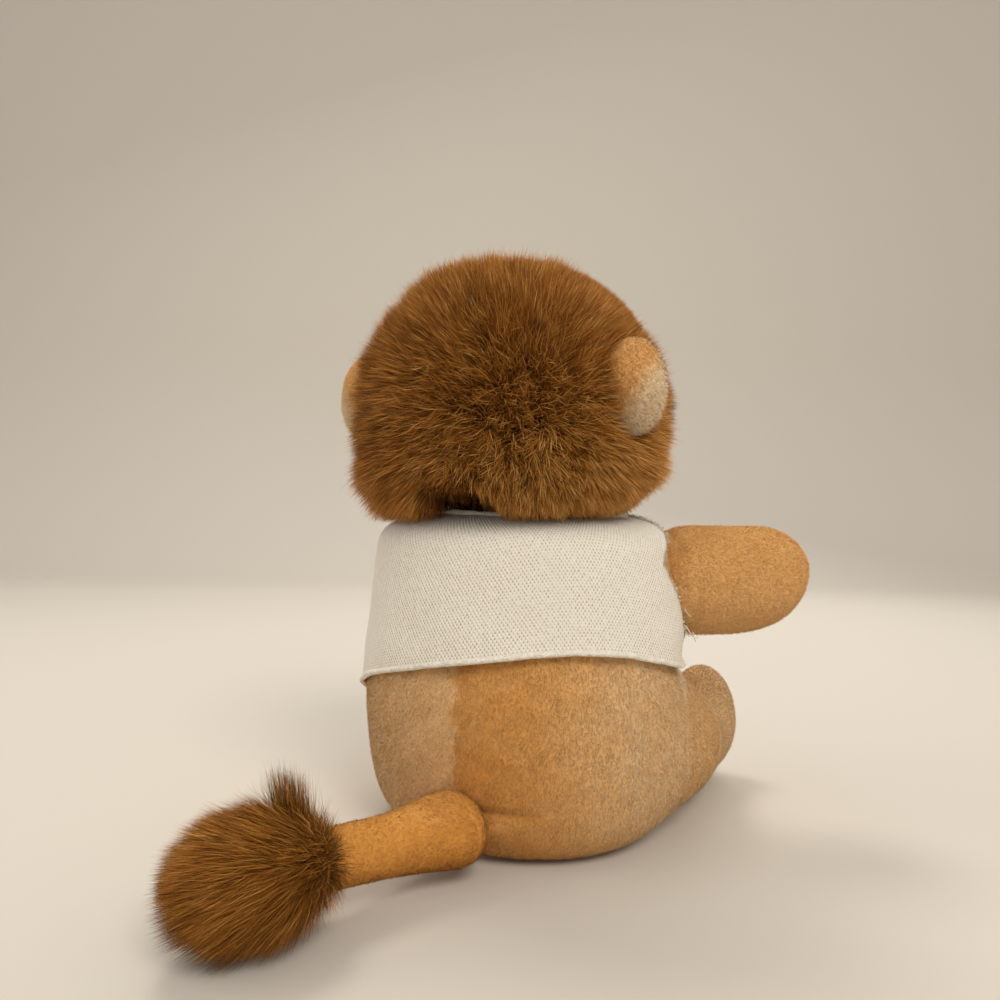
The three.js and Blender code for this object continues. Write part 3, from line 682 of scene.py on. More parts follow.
def torso_field(p):
    """Below zero inside the torso with its haunches."""
    radius = np.interp(p[:, 2], BODY_LINE[:, 1], BODY_LINE[:, 0]) - CLOTH_INSET
    radius = radius - WAIST_DEPTH * bell(p[:, 2], WAIST_HEIGHT, WAIST_REACH)
    rho = np.hypot(p[:, 0], p[:, 1] / BODY_DEPTH_SHARE)
    field = rho - radius + vest_pinch(p)
    for side, _ in SIDES:
        q = (p - mirror(HAUNCH_CENTRE, side)) / HAUNCH_RADII
        field = smooth_union(field, (np.linalg.norm(q, axis=1) - 1) * min(HAUNCH_RADII), HAUNCH_MELT)
    return field


def torso_skin():
    way = circle(TORSO_COLUMNS)
    stack = [np.zeros((1, 3)), *(way * [r, r * BODY_DEPTH_SHARE, 0] for r in SEAT_RINGS)]
    heights = np.interp(np.linspace(0, 1, TORSO_ROWS), np.linspace(0, 1, len(BODY_LINE)), BODY_LINE[:, 1])
    top = BODY_LINE[-1, 1]
    for z in np.unique(heights[heights < top - 0.3]):
        stack.append(way * reach_inside(torso_field, way, [0, 0, z], 140.0, 30)[:, None] + [0, 0, z])
    stack.append(np.array([[0, 0, top]]))
    skin = rings(stack)
    seam = np.zeros(len(skin.verts), bool)
    groove = np.zeros(len(skin.verts))
    angle = np.degrees(np.arctan2(skin.verts[:, 1] / BODY_DEPTH_SHARE, skin.verts[:, 0]))
    mean_radius = skin.verts[:, :2].std()
    for line, depth in SEAM_GROOVES.items():
        away = np.abs((angle - line + 180) % 360 - 180) * mean_radius / DEGREES_PER_RADIAN
        seam |= away < SEAM_WIDTH
        groove = np.maximum(groove, depth * bell(away, 0, SEAM_REACH))
    groove[skin.verts[:, 2] < 1] = 0
    run = fade(angle, *CREASE_START) * fade(angle, *CREASE_END)
    above = skin.verts[:, 2] - CREASE_HEIGHT - CREASE_SLOPE * (angle - BACK_SEAM)
    bulge = BULGE_SHARE * bell(above, -BULGE_DROP, BULGE_REACH)
    groove += run * CREASE_DEPTH * (bell(above, 0, CREASE_REACH) - bulge)
    skin.verts -= skin.normals * groove[:, None]
    skin.shape()
    seam |= (skin.verts[:, 2] < SEAT_SEAM_HEIGHT) | (skin.verts[:, 2] > NECK_SEAM_HEIGHT)
    return plump(skin, seam, 3.0, 3.0)


def combed(way):
    """A nap that lies in one direction."""
    return lambda points, normals: np.tile(way, (len(points), 1))


down = combed([0.0, 0.0, -1.0])

# The hem as [place along Y, height], and its slant, lower on the lion's left
HEM_LINE = spline([(-90, 72), (-45, 69), (-8, 65), (12, 68), (36, 76), (58, 82), (90, 85)], 60)
HEM_ASKEW = 10.5
# Armhole rim as [angle from the back upwards, radius], larger at the shoulder blade
ARMHOLE_EDGE = [
    (-180, 28), (-90, 28), (-55, 28), (-35, 30), (-20, 26.5), (0, 33), (13, 43), (22, 42), (30, 40), (60, 33),
    (90, 29), (180, 28),
]
ARMHOLE_INNER = 35.0
ARM_OUTWARD = {1: 28.0, -1: 50.0}


def hem_height(points):
    """Height of the vest's hem over each point's place round the torso."""
    level = np.interp(points[:, 1], HEM_LINE[:, 0], HEM_LINE[:, 1])
    return level - points[:, 0] * math.tan(math.radians(HEM_ASKEW))


def arm_way(side):
    a = math.radians(ARM_OUTWARD[side])
    return np.array([side * math.sin(a), -math.cos(a), 0])


def armhole(points):
    """Each point's distance from its armhole's middle, and the hole's rim in that direction.

    Behind the arm the hole is measured in side view, in front of it across the arm's axis.
    """
    back, up = points[:, 1] - SHOULDER[1], points[:, 2] - SHOULDER[2]
    across = np.zeros(len(points))
    for side, _ in SIDES:
        way = arm_way(side)
        rel = points - mirror(SHOULDER, side)
        beside = side * (rel[:, 1] * way[0] - rel[:, 0] * way[1])
        across = np.where(points[:, 0] * side > 0, beside, across)
    ahead = fade(back, 0, -12)
    back = back * (1 - ahead) + across * ahead
    rim = np.interp(np.degrees(np.arctan2(up, back)), *np.transpose(ARMHOLE_EDGE))
    return np.hypot(back, up), rim


def torso_keep(points, normals):
    """No pile where the vest covers the torso, nor on the seat."""
    off, rim = armhole(points)
    open_hole = (off < rim - 0.5) & (np.abs(points[:, 0]) > ARMHOLE_INNER)
    bare = (points[:, 2] > hem_height(points) + 8) & ~open_hole
    bare |= points[:, 2] < 0.5
    return np.where(bare, 0.0, 1.0)


# Places in the plush tones
BACK_LEFT_TONE = 0.62
BACK_RIGHT_TONE = 0.36
BACK_RIGHT_PALER = 0.3
BACK_RIGHT_DEEPER = 0.08
THIGH_TONE = 0.56
BELLY_TONE = 0.8
COVERED_TONE = 0.47


def torso_tone(points):
    """Pale on the left of the back seam, deeper on the right and paler again towards the haunch."""
    x, z = points[:, 0], points[:, 2]
    left = x > 1.2 * noise(points, 9, 8)
    tone = np.where(left, BACK_LEFT_TONE, BACK_RIGHT_TONE + fade(x, -30, -65) * BACK_RIGHT_PALER)
    deeper = np.exp(-(((x + 14) / 14) ** 2 + ((z - 38) / 16) ** 2))
    tone -= np.where(left, 0.0, BACK_RIGHT_DEEPER) * deeper
    thigh = np.linalg.norm((on_left(points) - HAUNCH_CENTRE) / HAUNCH_RADII, axis=1)
    belly = np.where(thigh < 1.3, THIGH_TONE, BELLY_TONE)
    front = fade(points[:, 1], -6, -11)
    tone = tone * (1 - front) + belly * front
    return np.where(z > hem_height(points) + 4, COVERED_TONE, tone)


torso = torso_skin()
torso_obj = torso.object("torso_cloth", plush_cloth, torso_tone)
dress(torso_obj, "torso", "tan_plush", "body_back_left", "body_back_right", "belly_panel", "seat_panel",
      "body_stuffing", fill=0.85)
for side, word in SIDES:
    def half_keep(points, normals, side=side):
        return torso_keep(points, normals) * (points[:, 0] * side >= 0)

    short_pile(f"torso_pile_{word}", torso, down, "torso", "tan_plush", torso_tone, keep=half_keep,
               seed=1 + side, mottle=0.1, light=0.82)


# Limbs

LIMB_COLUMNS = 40


def limb_skin(outline):
    """Rings along -Y round a limb, given [radius, distance] points."""
    way = upright_circle(LIMB_COLUMNS)
    stack = []
    for radius, distance in outline:
        stack.append(way * radius + [0, -distance, 0] if radius > 0.01 else np.array([[0, -distance, 0]]))
    return rings(stack)


def capsule(ball, tip, taper, round_end, root=0.0):
    """Outline of a stub: a ball at its root, a tapered middle and a rounded tip."""
    a = np.linspace(0, math.pi / 2, 7)
    inner = [(ball * math.sin(x), -root - ball * math.cos(x)) for x in a]
    inner = inner if root > 0 else inner[:-1]
    middle = [(ball + (tip - ball) * (1.5 * s - 0.5 * s**3), taper * s) for s in np.linspace(0, 1, 9)[:-1]]
    outer = [(tip * math.cos(x), taper + round_end * math.sin(x)) for x in a[:-1]]
    return [*inner, *middle, *outer, (0, taper + round_end)]


def limb_seam(skin):
    """The one lengthwise seam that each limb has."""
    return (np.arange(len(skin.verts)) - 1) % LIMB_COLUMNS < 1


LIMB_PRESSURE = 2.0
# The arms' root as [radius, length inside the torso, rise]
ARM_ROOT = {1: (23.0, 0.0, 0.0), -1: (24.3, 8.0, 1.2)}
ARM_RADIUS = 24.3
ARM_TAPER = 28.0
ARM_ROUND = 19.5
ARM_SWELL = 1.5
ARM_TIP_RISE = 10.5
ARM_TIP_FROM = 8.0
ARM_TIP_TO = 46.0


def arm_tone(points):
    return 0.48 - 0.003 * (points[:, 2] - SHOULDER[2])


def arm_keep(points, normals):
    return np.where(torso_field(points) < -2, 0.0, 1.0)


def arm_skin(side):
    """An arm at its place. The right one's root lies further in and a little higher."""
    ball, root, rise = ARM_ROOT[side]
    skin = limb_skin(capsule(ball, ARM_RADIUS, ARM_TAPER, ARM_ROUND, root))
    skin = plump(skin, limb_seam(skin), LIMB_PRESSURE, ARM_SWELL)
    out = fade(-skin.verts[:, 1], ARM_TIP_FROM, ARM_TIP_TO) ** 2
    skin.verts[:, 2] += ARM_TIP_RISE * out * (1 - skin.verts[:, 2] / ARM_RADIUS) / 2 + rise
    skin.shape()
    return skin.placed(lambda p: spin_z(p, side * ARM_OUTWARD[side]) + mirror(SHOULDER, side))


for side, word in SIDES:
    arm = f"arm_{word}"
    skin = arm_skin(side)
    dress(skin.object(f"{arm}_cloth", plush_cloth, arm_tone), arm, "tan_plush",
          f"{arm}_skin", f"{arm}_stuffing", fill=0.85)
    short_pile(f"{arm}_pile", skin, combed(arm_way(side) + [0, 0, -0.25]), arm, "tan_plush", arm_tone,
               keep=arm_keep, seed=11 + side, mottle=0.03, light=1.05)


LEG_SPLAY = 6.0
LEG_RADIUS = 25.5
LEG_TAPER = ((-27, LEG_RADIUS), (0, LEG_RADIUS), (44, 19), (52, 11))
LEG_SWELL = 1.2
FOOT_RISE = 4.0
FOOT_CENTRE = np.array([0.0, -52.0, FOOT_RISE])
FOOT_RADII = np.array([18.0, 16.0, 28.5])
FOOT_MELT = 9.0
SOLE_RINGS = (0.95, 0.6, 0.3)
SOLE_STEP = 0.6
SOLE_PLANE = -59.5
SOLE_TONE = 0.86
# The legs' tone is paler and greyer than the arms': partly their own colour, partly painted shade
LEG_TONE = 0.64


def leg_field(p):
    """Below zero inside a leg that lies along -Y, with its upright foot."""
    leg = np.hypot(p[:, 0], p[:, 2]) - np.interp(-p[:, 1], *np.transpose(LEG_TAPER))
    leg = np.where(p[:, 1] > 0, np.linalg.norm(p, axis=1) - LEG_RADIUS, leg)
    foot = (np.linalg.norm((p - FOOT_CENTRE) / FOOT_RADII, axis=1) - 1) * FOOT_RADII[0]
    return smooth_union(leg, foot, FOOT_MELT)


def leg_skin():
    way = upright_circle(LIMB_COLUMNS)
    stack = [np.array([[0, LEG_RADIUS, 0]])]
    for y in np.concatenate([np.linspace(24.5, -30, 18), np.linspace(-33, -60, 16)]):
        centre = np.array([0, y, FOOT_RISE * fade(y, 0, FOOT_CENTRE[1])])
        stack.append(way * reach_inside(leg_field, way, centre, 60.0, 28)[:, None] + centre)
    for share in SOLE_RINGS:
        stack.append((stack[-1] - [0, 0, FOOT_RISE]) * [share, 1, share] + [0, -SOLE_STEP, FOOT_RISE])
    stack.append(np.array([[0, stack[-1][0][1], FOOT_RISE]]))
    return rings(stack)


leg_form = leg_skin()
leg_form = plump(leg_form, limb_seam(leg_form), LIMB_PRESSURE, LEG_SWELL)
leg_form.verts[:, 2] = np.maximum(leg_form.verts[:, 2], 1.0 - HIP[2])
for side, word in SIDES:
    leg = f"leg_{word}"
    skin = leg_form.placed(lambda p: spin_z(p, side * LEG_SPLAY) + mirror(HIP, side))

    def leg_along(points, side=side):
        return spin_z(points - mirror(HIP, side), -side * LEG_SPLAY)[:, 1]

    def leg_keep(points, normals):
        along = leg_along(points)
        return np.where((along > 6) | (along < SOLE_PLANE) | (torso_field(points) < -1), 0.0, 1.0)

    def sole_keep(points, normals):
        return np.where(leg_along(points) < SOLE_PLANE, 1.0, 0.0)

    def leg_tone(points):
        return np.where(leg_along(points) < SOLE_PLANE, SOLE_TONE, LEG_TONE)

    def leg_nap(points, normals):
        sole = leg_along(points) < SOLE_PLANE
        return np.where(sole[:, None], [0.0, 0.0, -1.0], [0.0, -1.0, -0.2])

    dress(skin.object(f"{leg}_cloth", plush_cloth, leg_tone), leg, "tan_plush",
          f"{leg}_skin", f"{leg}_stuffing", f"sole_{word}", fill=0.85)
    # Painted shade: light=0.42 paints the legs' pile darker, as where the body shades the feet
    short_pile(f"{leg}_pile", skin, leg_nap, leg, "tan_plush", leg_tone, keep=leg_keep, seed=21 + side,
               light=0.42, mottle=0.04)
    short_pile(f"sole_{word}_pile", skin, leg_nap, leg, "cream_plush", leg_tone, keep=sole_keep,
               seed=25 + side,
               light=0.95, mottle=0.03)


# Tail and tuft

TAIL_TURN = 17.0
TAIL_RISE = 4.0
TAIL_LENGTH = 54.0
TAIL_ROOT_RADIUS = 14.5
TAIL_RADIUS = 10.5
TAIL_SWELL = 1.0
TAIL_BARE_FROM = 56.0


def tail_place(p):
    return spin_z(tip_x(p, TAIL_RISE), -TAIL_TURN) + TAIL_PIVOT


def tail_skin():
    """The tail, wider on one side of its root and thinner on top of its middle."""
    skin = limb_skin(capsule(TAIL_ROOT_RADIUS, TAIL_RADIUS, TAIL_LENGTH, TAIL_RADIUS))
    skin = plump(skin, limb_seam(skin), LIMB_PRESSURE, TAIL_SWELL)
    x, along, z = skin.verts[:, 0], -skin.verts[:, 1], skin.verts[:, 2]
    skin.verts[:, 0] *= np.where(x < 0, 1 + 0.33 * bell(along, 0, 16), 1)
    skin.verts[:, 2] *= np.where(z > 0, 1 - 0.13 * bell(along, 28, 14), 1)
    return skin.placed(lambda p: tail_place(p * [1, -1, 1])).flipped()


def tail_tone(points):
    # Painted light on the top of the tail and painted shade underneath: paler upwards, deeper downwards
    return 0.17 + 0.007 * (points[:, 2] - 18)


tail_way = tail_place(np.array([[0, 1.0, 0]]))[0] - TAIL_PIVOT


def tail_keep(points, normals):
    along = (points - TAIL_PIVOT) @ tail_way
    return np.where((along > TAIL_BARE_FROM) | (torso_field(points) < -2), 0.0, 1.0)


tail = tail_skin()
dress(tail.object("tail_cloth", plush_cloth, tail_tone), "tail", "tan_plush",
      "tail_skin", "tail_stuffing", fill=0.8)
short_pile("tail_pile", tail, combed(tail_way), "tail", "tan_plush", tail_tone, keep=tail_keep,
           seed=31, lean=0.7, mottle=0.045)


# Long pile, with a share of thicker and paler guard hairs
GUARD_SHARE = 0.22
GUARD_WIDTH = (0.3, 0.46)
HAIR_WIDTH = (0.2, 0.32)
GUARD_PALER = 0.3

TUFT_RISE = 8.0
TUFT_CORE = (0.0, 26.0, 0.0)
TUFT_CORE_RADII = (11.5, 21.0, 11.5)
TUFT_DENSITY = 16.0
TUFT_LENGTH = (15, 19)
TUFT_GUARD_WIDTH = (0.2, 0.3)
TUFT_HAIR_WIDTH = (0.13, 0.22)
TUFT_COMB = np.array([0.82, 0.42, -0.2])
TUFT_LOW_WAY = [0.5, 0.25, -0.25]
TUFT_UNDER_WAY = [-0.2, -0.1, -0.2]
TUFT_TONE = 0.36
# A tuft of longer hairs that stands up near the tuft's root
SPIKE_PLACE = 14.0
SPIKE_HEIGHT = 11.0
SPIKE_RADIUS = 4.5
tuft_root = tail_place(np.array([[0, TAIL_LENGTH, 0]]))[0]
tuft_way = spin_z(tip_x(np.array([[0, 1.0, 0]]), TUFT_RISE), -TAIL_TURN)[0]


def hair_width(guard, rng, thick=GUARD_WIDTH, thin=HAIR_WIDTH):
    n = len(guard)
    return np.where(guard, rng.uniform(*thick, n), rng.uniform(*thin, n))


def tuft_build():
    rng = np.random.default_rng(SEED + 41)
    core = ellipsoid(TUFT_CORE, TUFT_CORE_RADII, 40, 24)
    core = core.placed(lambda p: spin_z(tip_x(p, TUFT_RISE), -TAIL_TURN) + tuft_root)
    dress(core.object("tuft_cloth", mane_cloth), "tuft", "mane_pile", "tuft_pile", "tuft_stuffing", fill=0.8)
    points, normals = core.sample(TUFT_DENSITY, rng)
    n = len(points)
    along = (points - tuft_root) @ tuft_way
    flow = flattened(points - (tuft_root - tuft_way * 4), normals)
    lean = np.interp(along, [4, 12, 24, 47], [0.05, 0.3, 0.5, 0.4]) + 0.12 * noise(points, 12, 43)
    lean = np.clip(lean, 0.02, 0.8)[:, None]
    loose = rng.normal(0, 1, (n, 3)) * np.interp(along, [8, 20], [0.26, 0.15])[:, None]
    comb = TUFT_COMB * np.interp(along, [4, 10, 47], [0.55, 0.75, 0.75])[:, None]
    low = fade(points[:, 2], tuft_root[2] + 8, tuft_root[2] - 8)
    under = (low * fade(along, 28, 12))[:, None]
    start = unit(normals * (1 - 0.6 * lean) + flow * 0.6 * lean + 0.5 * comb + loose)
    end = normals * (1 - lean) + flow * lean + 1.4 * (1 - 0.7 * under) * comb + 2 * loose
    end = unit(end + low[:, None] * TUFT_LOW_WAY + under * TUFT_UNDER_WAY)
    guard = rng.random(n) < GUARD_SHARE
    size = rng.uniform(*TUFT_LENGTH, n) * (1 + 0.1 * noise(points, 10, 44)) * np.where(guard, 1.1, 0.95)
    size *= np.interp(along, [4, 14, 36, 47], [0.8, 1.05, 1.0, 0.9])
    size *= 1 + 0.3 * low * fade(along, 10, 26)
    spike_root = tuft_root + tuft_way * SPIKE_PLACE + [0, 0, SPIKE_HEIGHT]
    spike = np.linalg.norm(points - spike_root, axis=1) < SPIKE_RADIUS
    size[spike] *= 1.3
    end[spike] = unit(np.array([0.0, 0.1, 1.0]) + 0.1 * rng.normal(size=(spike.sum(), 3)))
    path = strand_paths(points, start, end, size, 2)
    path = clump(path, 40, 0.2, rng)
    path = clump(path, 6, 0.35, rng)
    tone = TUFT_TONE + 0.1 * noise(points, 8, 45) + rng.normal(0, 0.12, n)
    tone += np.where(guard, GUARD_PALER, 0.0) + 0.12 * spike
    width = hair_width(guard, rng, TUFT_GUARD_WIDTH, TUFT_HAIR_WIDTH)
    strand_object("tuft_strands", path, normals, width, np.clip(tone, *TONE_RANGE), rng, mane_pile, "tuft",
                  "mane_pile")


tuft_build()


# Ears

EAR_TURN = 84.0
EAR_MIDDLE = -11.5
EAR_CUP = 2.0
EAR_RADII = np.array([8.5, 13.0, 18.5])
EAR_COLUMNS = 44
EAR_BACK_RINGS = (0.2, 0.4, 0.6, 0.75, 0.86, 0.94, 0.99)
EAR_LINING_RINGS = (1.0, 0.97, 0.9, 0.78, 0.6, 0.4, 0.2)
EAR_TONE = 0.44
EAR_EDGE_PALER = 0.42
EAR_LINING_TONE = 0.9


def ear_local(points, side):
    """Points in an ear's own frame, with its back towards +X and its root at the origin."""
    return spin_z(mirror(points - mirror(EAR_PIVOT, side), side), -EAR_TURN)


def ear_skin():
    """The left ear: a domed back and a cupped lining."""
    way = circle(EAR_COLUMNS)[:, [2, 0, 1]]
    centre = np.array([0, EAR_MIDDLE, 0])
    dome = EAR_RADII[0]
    stack = [centre[None] + [dome, 0, 0]]
    for rho in EAR_BACK_RINGS:
        stack.append(way * EAR_RADII * rho + centre + [dome * math.sqrt(1 - rho**2), 0, 0])
    for rho in EAR_LINING_RINGS:
        stack.append(way * EAR_RADII * rho + centre + [EAR_CUP * (1 - 2 * rho**2), 0, 0])
    stack.append(centre[None] + [EAR_CUP, 0, 0])
    return rings([spin_z(ring, EAR_TURN) + EAR_PIVOT for ring in stack]).flipped()


ear_left = ear_skin()
for side, word in SIDES:
    ear = f"ear_{word}"
    skin = ear_left if side > 0 else ear_left.mirrored()

    def ear_tone(points, side=side):
        q = ear_local(points, side)
        out, up = -(q[:, 1] - EAR_MIDDLE) / EAR_RADII[1], q[:, 2] / EAR_RADII[2]
        edge = fade(0.8 * out - 0.75 * up, 0.05, 0.55)
        return np.where(q[:, 0] > -0.5, EAR_TONE + EAR_EDGE_PALER * edge, EAR_LINING_TONE)

    def ear_nap(points, normals, side=side):
        q = ear_local(points, side) - [0, 20, 0]
        return unit(mirror(spin_z(q * [0, 1, 1], EAR_TURN), side)) + [0, 0, -0.3]

    def ear_length(points, side=side):
        return np.interp(ear_local(points, side)[:, 2], [-16, 6], [3.8, 1.9])

    dress(skin.object(f"{ear}_cloth", plush_cloth, ear_tone), ear, "tan_plush",
          f"{ear}_back", f"{ear}_lining", fill=0.7)
    # Painted light: light=1.2 paints the ears' pile brighter than the shade of the hair round them lets it
    # render
    short_pile(f"{ear}_pile", skin, ear_nap, ear, "tan_plush", ear_tone, seed=51 + side, length=ear_length,
               lean=0.5, mottle=0.03, light=1.2)


# Head and face

HEAD_CENTRE = np.array([0.0, 8.0, 200.0])
HEAD_RADII = np.array([56.0, 54.0, 51.0])
NECK_BALL = 29.0
FACE_MIDDLE = 191.0
FACE_RADIUS = 46.0
FACE_FROM = -6.0
COVER_RADIUS = 50.0
COVER_FROM = -14.0
MUZZLE_CENTRE = np.array([0.0, -42.0, 186.0])
MUZZLE_RADII = np.array([27.0, 20.0, 18.0])
MUZZLE_PILE = 2.2
CHIN_CENTRE = np.array([0.0, -42.0, 173.0])
CHIN_RADII = np.array([15.0, 13.0, 9.0])
NOSE_CENTRE = np.array([0.0, -57.6, 197.0])
NOSE_RADII = (10.0, 5.5, 6.5)
NOSE_BARE_RADII = (10.0, 8.0, 6.5)
NOSE_NARROWING = 0.45
EYE_PLACE = np.array([20.4, -40.06, 213.99])
EYE_RADII = (6.5, 6.5, 5.2)
EYE_BARE_RADIUS = 6.3
WASHER_CENTRE = (0.0, 0.0, -8.0)
WASHER_RADII = (8.0, 8.0, 1.2)
SMILE_HALF = [(-17.5, 184.6), (-13, 182.6), (-7, 182.4), (0, 186)]
SMILE_STEM = (194, 186)
THREAD_RADIUS = 0.9
THREAD_ROOM = 1.9


def face_distance(points):
    return np.hypot(points[:, 0], points[:, 2] - FACE_MIDDLE)


def face_tone(points):
    return 0.5 + 0.002 * (points[:, 2] - HEAD_CENTRE[2])


def cream_tone(points):
    return 0.9 + 0.002 * (points[:, 2] - MUZZLE_CENTRE[2])


def head_tone(points):
    """As brown as the hair wherever mane and ruff cover the head."""
    covered = (points[:, 1] > COVER_FROM) | (face_distance(points) > COVER_RADIUS)
    return np.where(covered, 0.0, face_tone(points))


def neck_keep(points, normals):
    shown = (torso_field(points) > -1) & ~in_ellipsoid(points, HEAD_CENTRE, HEAD_RADII)
    return np.where(shown, 1.0, 0.0)


def face_keep(points, normals):
    shown = (points[:, 1] < FACE_FROM) & (face_distance(points) < FACE_RADIUS)
    shown &= ~in_ellipsoid(points, MUZZLE_CENTRE, MUZZLE_RADII, -1)
    for side, _ in SIDES:
        shown &= np.linalg.norm(points - mirror(EYE_PLACE, side), axis=1) > EYE_BARE_RADIUS
    return np.where(shown, 1.0, 0.0)


def face_nap(points, normals):
    return (points - [0, -60, 196]) * [1, 0, 1]


def muzzle_nap(points, normals):
    return (points - [0, -58, 195]) * [1, 0.3, 1]


def on_muzzle(line):
    """A line of [x, z] points laid on the muzzle's front."""
    x, z = np.transpose(line)
    depth = 1 - (x / MUZZLE_RADII[0]) ** 2 - ((z - MUZZLE_CENTRE[2]) / MUZZLE_RADII[2]) ** 2
    y = MUZZLE_CENTRE[1] - MUZZLE_RADII[1] * np.sqrt(np.maximum(0.02, depth)) - THREAD_RADIUS
    return np.stack([x, y, z], 1)


def muzzle_keep(points, normals):
    shown = ~in_ellipsoid(points, HEAD_CENTRE, HEAD_RADII, -1)
    shown &= ~in_ellipsoid(points, NOSE_CENTRE, NOSE_BARE_RADII)
    for path in smile_paths.values():
        gap = np.linalg.norm(points[:, None] - path[None], axis=2).min(1)
        shown &= gap > THREAD_ROOM
    return np.where(shown, 1.0, 0.0)


head = ellipsoid(HEAD_CENTRE, HEAD_RADII, 64, 40)
dress(head.object("head_cloth", plush_cloth, head_tone), "head", "tan_plush", "face_panel", "head_stuffing",
      fill=0.85)
neck = ellipsoid(NECK, (NECK_BALL,) * 3, 40, 24)
dress(neck.object("neck_cloth", plush_cloth, face_tone), "neck", "tan_plush", "neck_stuffing", fill=0.85)
short_pile("neck_pile", neck, down, "neck", "tan_plush", face_tone, seed=60, keep=neck_keep)
short_pile("face_pile", head, face_nap, "head", "tan_plush", face_tone, keep=face_keep, seed=61, mottle=0.04)

half_smile = spline(SMILE_HALF, 24)
stem_heights = np.linspace(*SMILE_STEM, 10)
smile_paths = {
    "smile": on_muzzle(np.concatenate([half_smile, half_smile[-2::-1] * [-1, 1]])),
    "smile_stem": on_muzzle(np.stack([0 * stem_heights, stem_heights], 1)),
}
for name, centre, radii, seed in (
    ("muzzle", MUZZLE_CENTRE, MUZZLE_RADII, 63),
    ("chin", CHIN_CENTRE, CHIN_RADII, 64),
):
    skin = ellipsoid(centre, radii, 48, 30)
    dress(skin.object(f"{name}_cloth", plush_cloth, cream_tone), "head", "cream_plush", name, fill=0.85)
    short_pile(f"{name}_pile", skin, muzzle_nap, "head", "cream_plush", cream_tone, keep=muzzle_keep,
               seed=seed, length=MUZZLE_PILE, mottle=0.035)

eye_gloss = gloss_material("eye_gloss", (34, 20, 12), 0.12)
nose_gloss = gloss_material("nose_gloss", (42, 26, 20), 0.38)
washer_plastic = gloss_material("washer_plastic", (228, 224, 216), 0.4)
thread_cloth = cloth_material("thread_cloth", [(0.3, (36, 22, 16)), (0.7, (62, 40, 30))], 400, 0.5)
nose = ellipsoid(NOSE_CENTRE, NOSE_RADII, 32, 20)
nose_bottom = NOSE_CENTRE[2] - NOSE_RADII[2]
nose.verts[:, 0] *= 1 - NOSE_NARROWING * fade(nose.verts[:, 2], NOSE_CENTRE[2], nose_bottom)
dress(nose.object("nose_moulded", nose_gloss), "head", "moulded", "nose")
for side, word in SIDES:
    out = mirror(unit((EYE_PLACE - HEAD_CENTRE) / HEAD_RADII**2), side)
    turn = np.array(Vector(out).to_track_quat("Z", "Y").to_matrix())

    def eye_place(p, turn=turn, side=side):
        return p @ turn.T + mirror(EYE_PLACE, side)

    bead = ellipsoid((0, 0, 0), EYE_RADII, 32, 20).placed(eye_place)
    dress(bead.object(f"eye_{word}_bead", eye_gloss), "head", "moulded", f"eye_{word}")
    disc = ellipsoid(WASHER_CENTRE, WASHER_RADII, 32, 10).placed(eye_place)
    dress(disc.object(f"eye_washer_{word}_disc", washer_plastic), "head", "washer", f"eye_washer_{word}")
for name, path in smile_paths.items():
    nodes = ["mouth_stitch"] if name == "smile" else []
    dress(tube(path, THREAD_RADIUS, 8).object(f"{name}_thread", thread_cloth), "head", "thread", *nodes)


# Mane, ruff and crown: long pile on the back of the head, round the face and between them

MANE_CENTRE = np.array([0.0, 18.0, 0.0])
MANE_DEPTH_SHARE = 122 / 148
MANE_BOTTOM = 140.0
# The outline is [radius, height over the bottom], out to the top of the dense pile
MANE_OUTLINE = [
    (53.3, 1.2), (69.6, 11.8), (74, 30.7), (72.5, 56.6), (66.6, 77.9), (55.5, 95.0),
    (44, 108.0), (27, 115.0), (0, 117),
]
MANE_COLUMNS = 80
MANE_PILE = 14.0
MANE_LOW_INSET = 0.5
MANE_LEAN = 4.5
MANE_LEAN_WAY = np.array([0.891, 0.454, 0.0])
MANE_LEAN_HEIGHTS = (195.0, 240.0)
# The hollow at the nape, where the pile is short
HOLLOW_CENTRE = np.array([3.0, 66.0, 147.0])
HOLLOW_RADII = np.array([17.0, 40.0, 5.5])
HOLLOW_PILE = 0.35
HOLLOW_SPREAD = 1.3
HOLLOW_PUSH = [0, -10, 7]
HOLLOW_CORE = 0.85
# The hair's whorl, and the dent in front of and under each ear
WHORL = np.array([-20.0, 78.0, 180.0])
EAR_ROOM = np.array([3.0, 1.5, 1.5])
EAR_HIDDEN = -5.0
EAR_NOTCH = np.array([61.0, 2.0, 182.0])
EAR_NOTCH_REACH = 10.0
HAIR_FLOOR = 137.0
HAIR_SOFTEN = 0.45
# Painted shade: how much darker the hair is painted in the dent in front of and under each ear
NOTCH_PAINTED_SHADE = 0.25


def mane_scalp():
    """The cloth under the mane's pile."""
    way = circle(MANE_COLUMNS) * [1, MANE_DEPTH_SHARE, 1]
    half = MANE_OUTLINE[-1][1] / 2
    stack = []
    for radius, height in spline(MANE_OUTLINE, 40):
        drop = MANE_PILE if height > half else MANE_PILE * MANE_LOW_INSET
        z = MANE_BOTTOM + half + (height - half) * (1 - drop / half)
        r = max(0.0, radius - MANE_PILE)
        centre = MANE_CENTRE + MANE_LEAN_WAY * MANE_LEAN * fade(z, *MANE_LEAN_HEIGHTS) + [0, 0, z]
        stack.append(way * r + centre if r > 0.5 else centre[None])
    skin = rings([(MANE_CENTRE + [0, 0, stack[0][0][2] - 1])[None], *stack])
    off = np.linalg.norm((skin.verts - HOLLOW_CENTRE) / (HOLLOW_RADII * HOLLOW_SPREAD), axis=1)
    skin.verts += np.clip(1 - off**2, 0, 1)[:, None] * HOLLOW_PUSH
    skin.shape()
    return skin


def ear_notch(points):
    """Near 1 in the dent of the mane in front of and under each ear."""
    return bell(np.linalg.norm(on_left(points) - EAR_NOTCH, axis=1), 0, EAR_NOTCH_REACH)


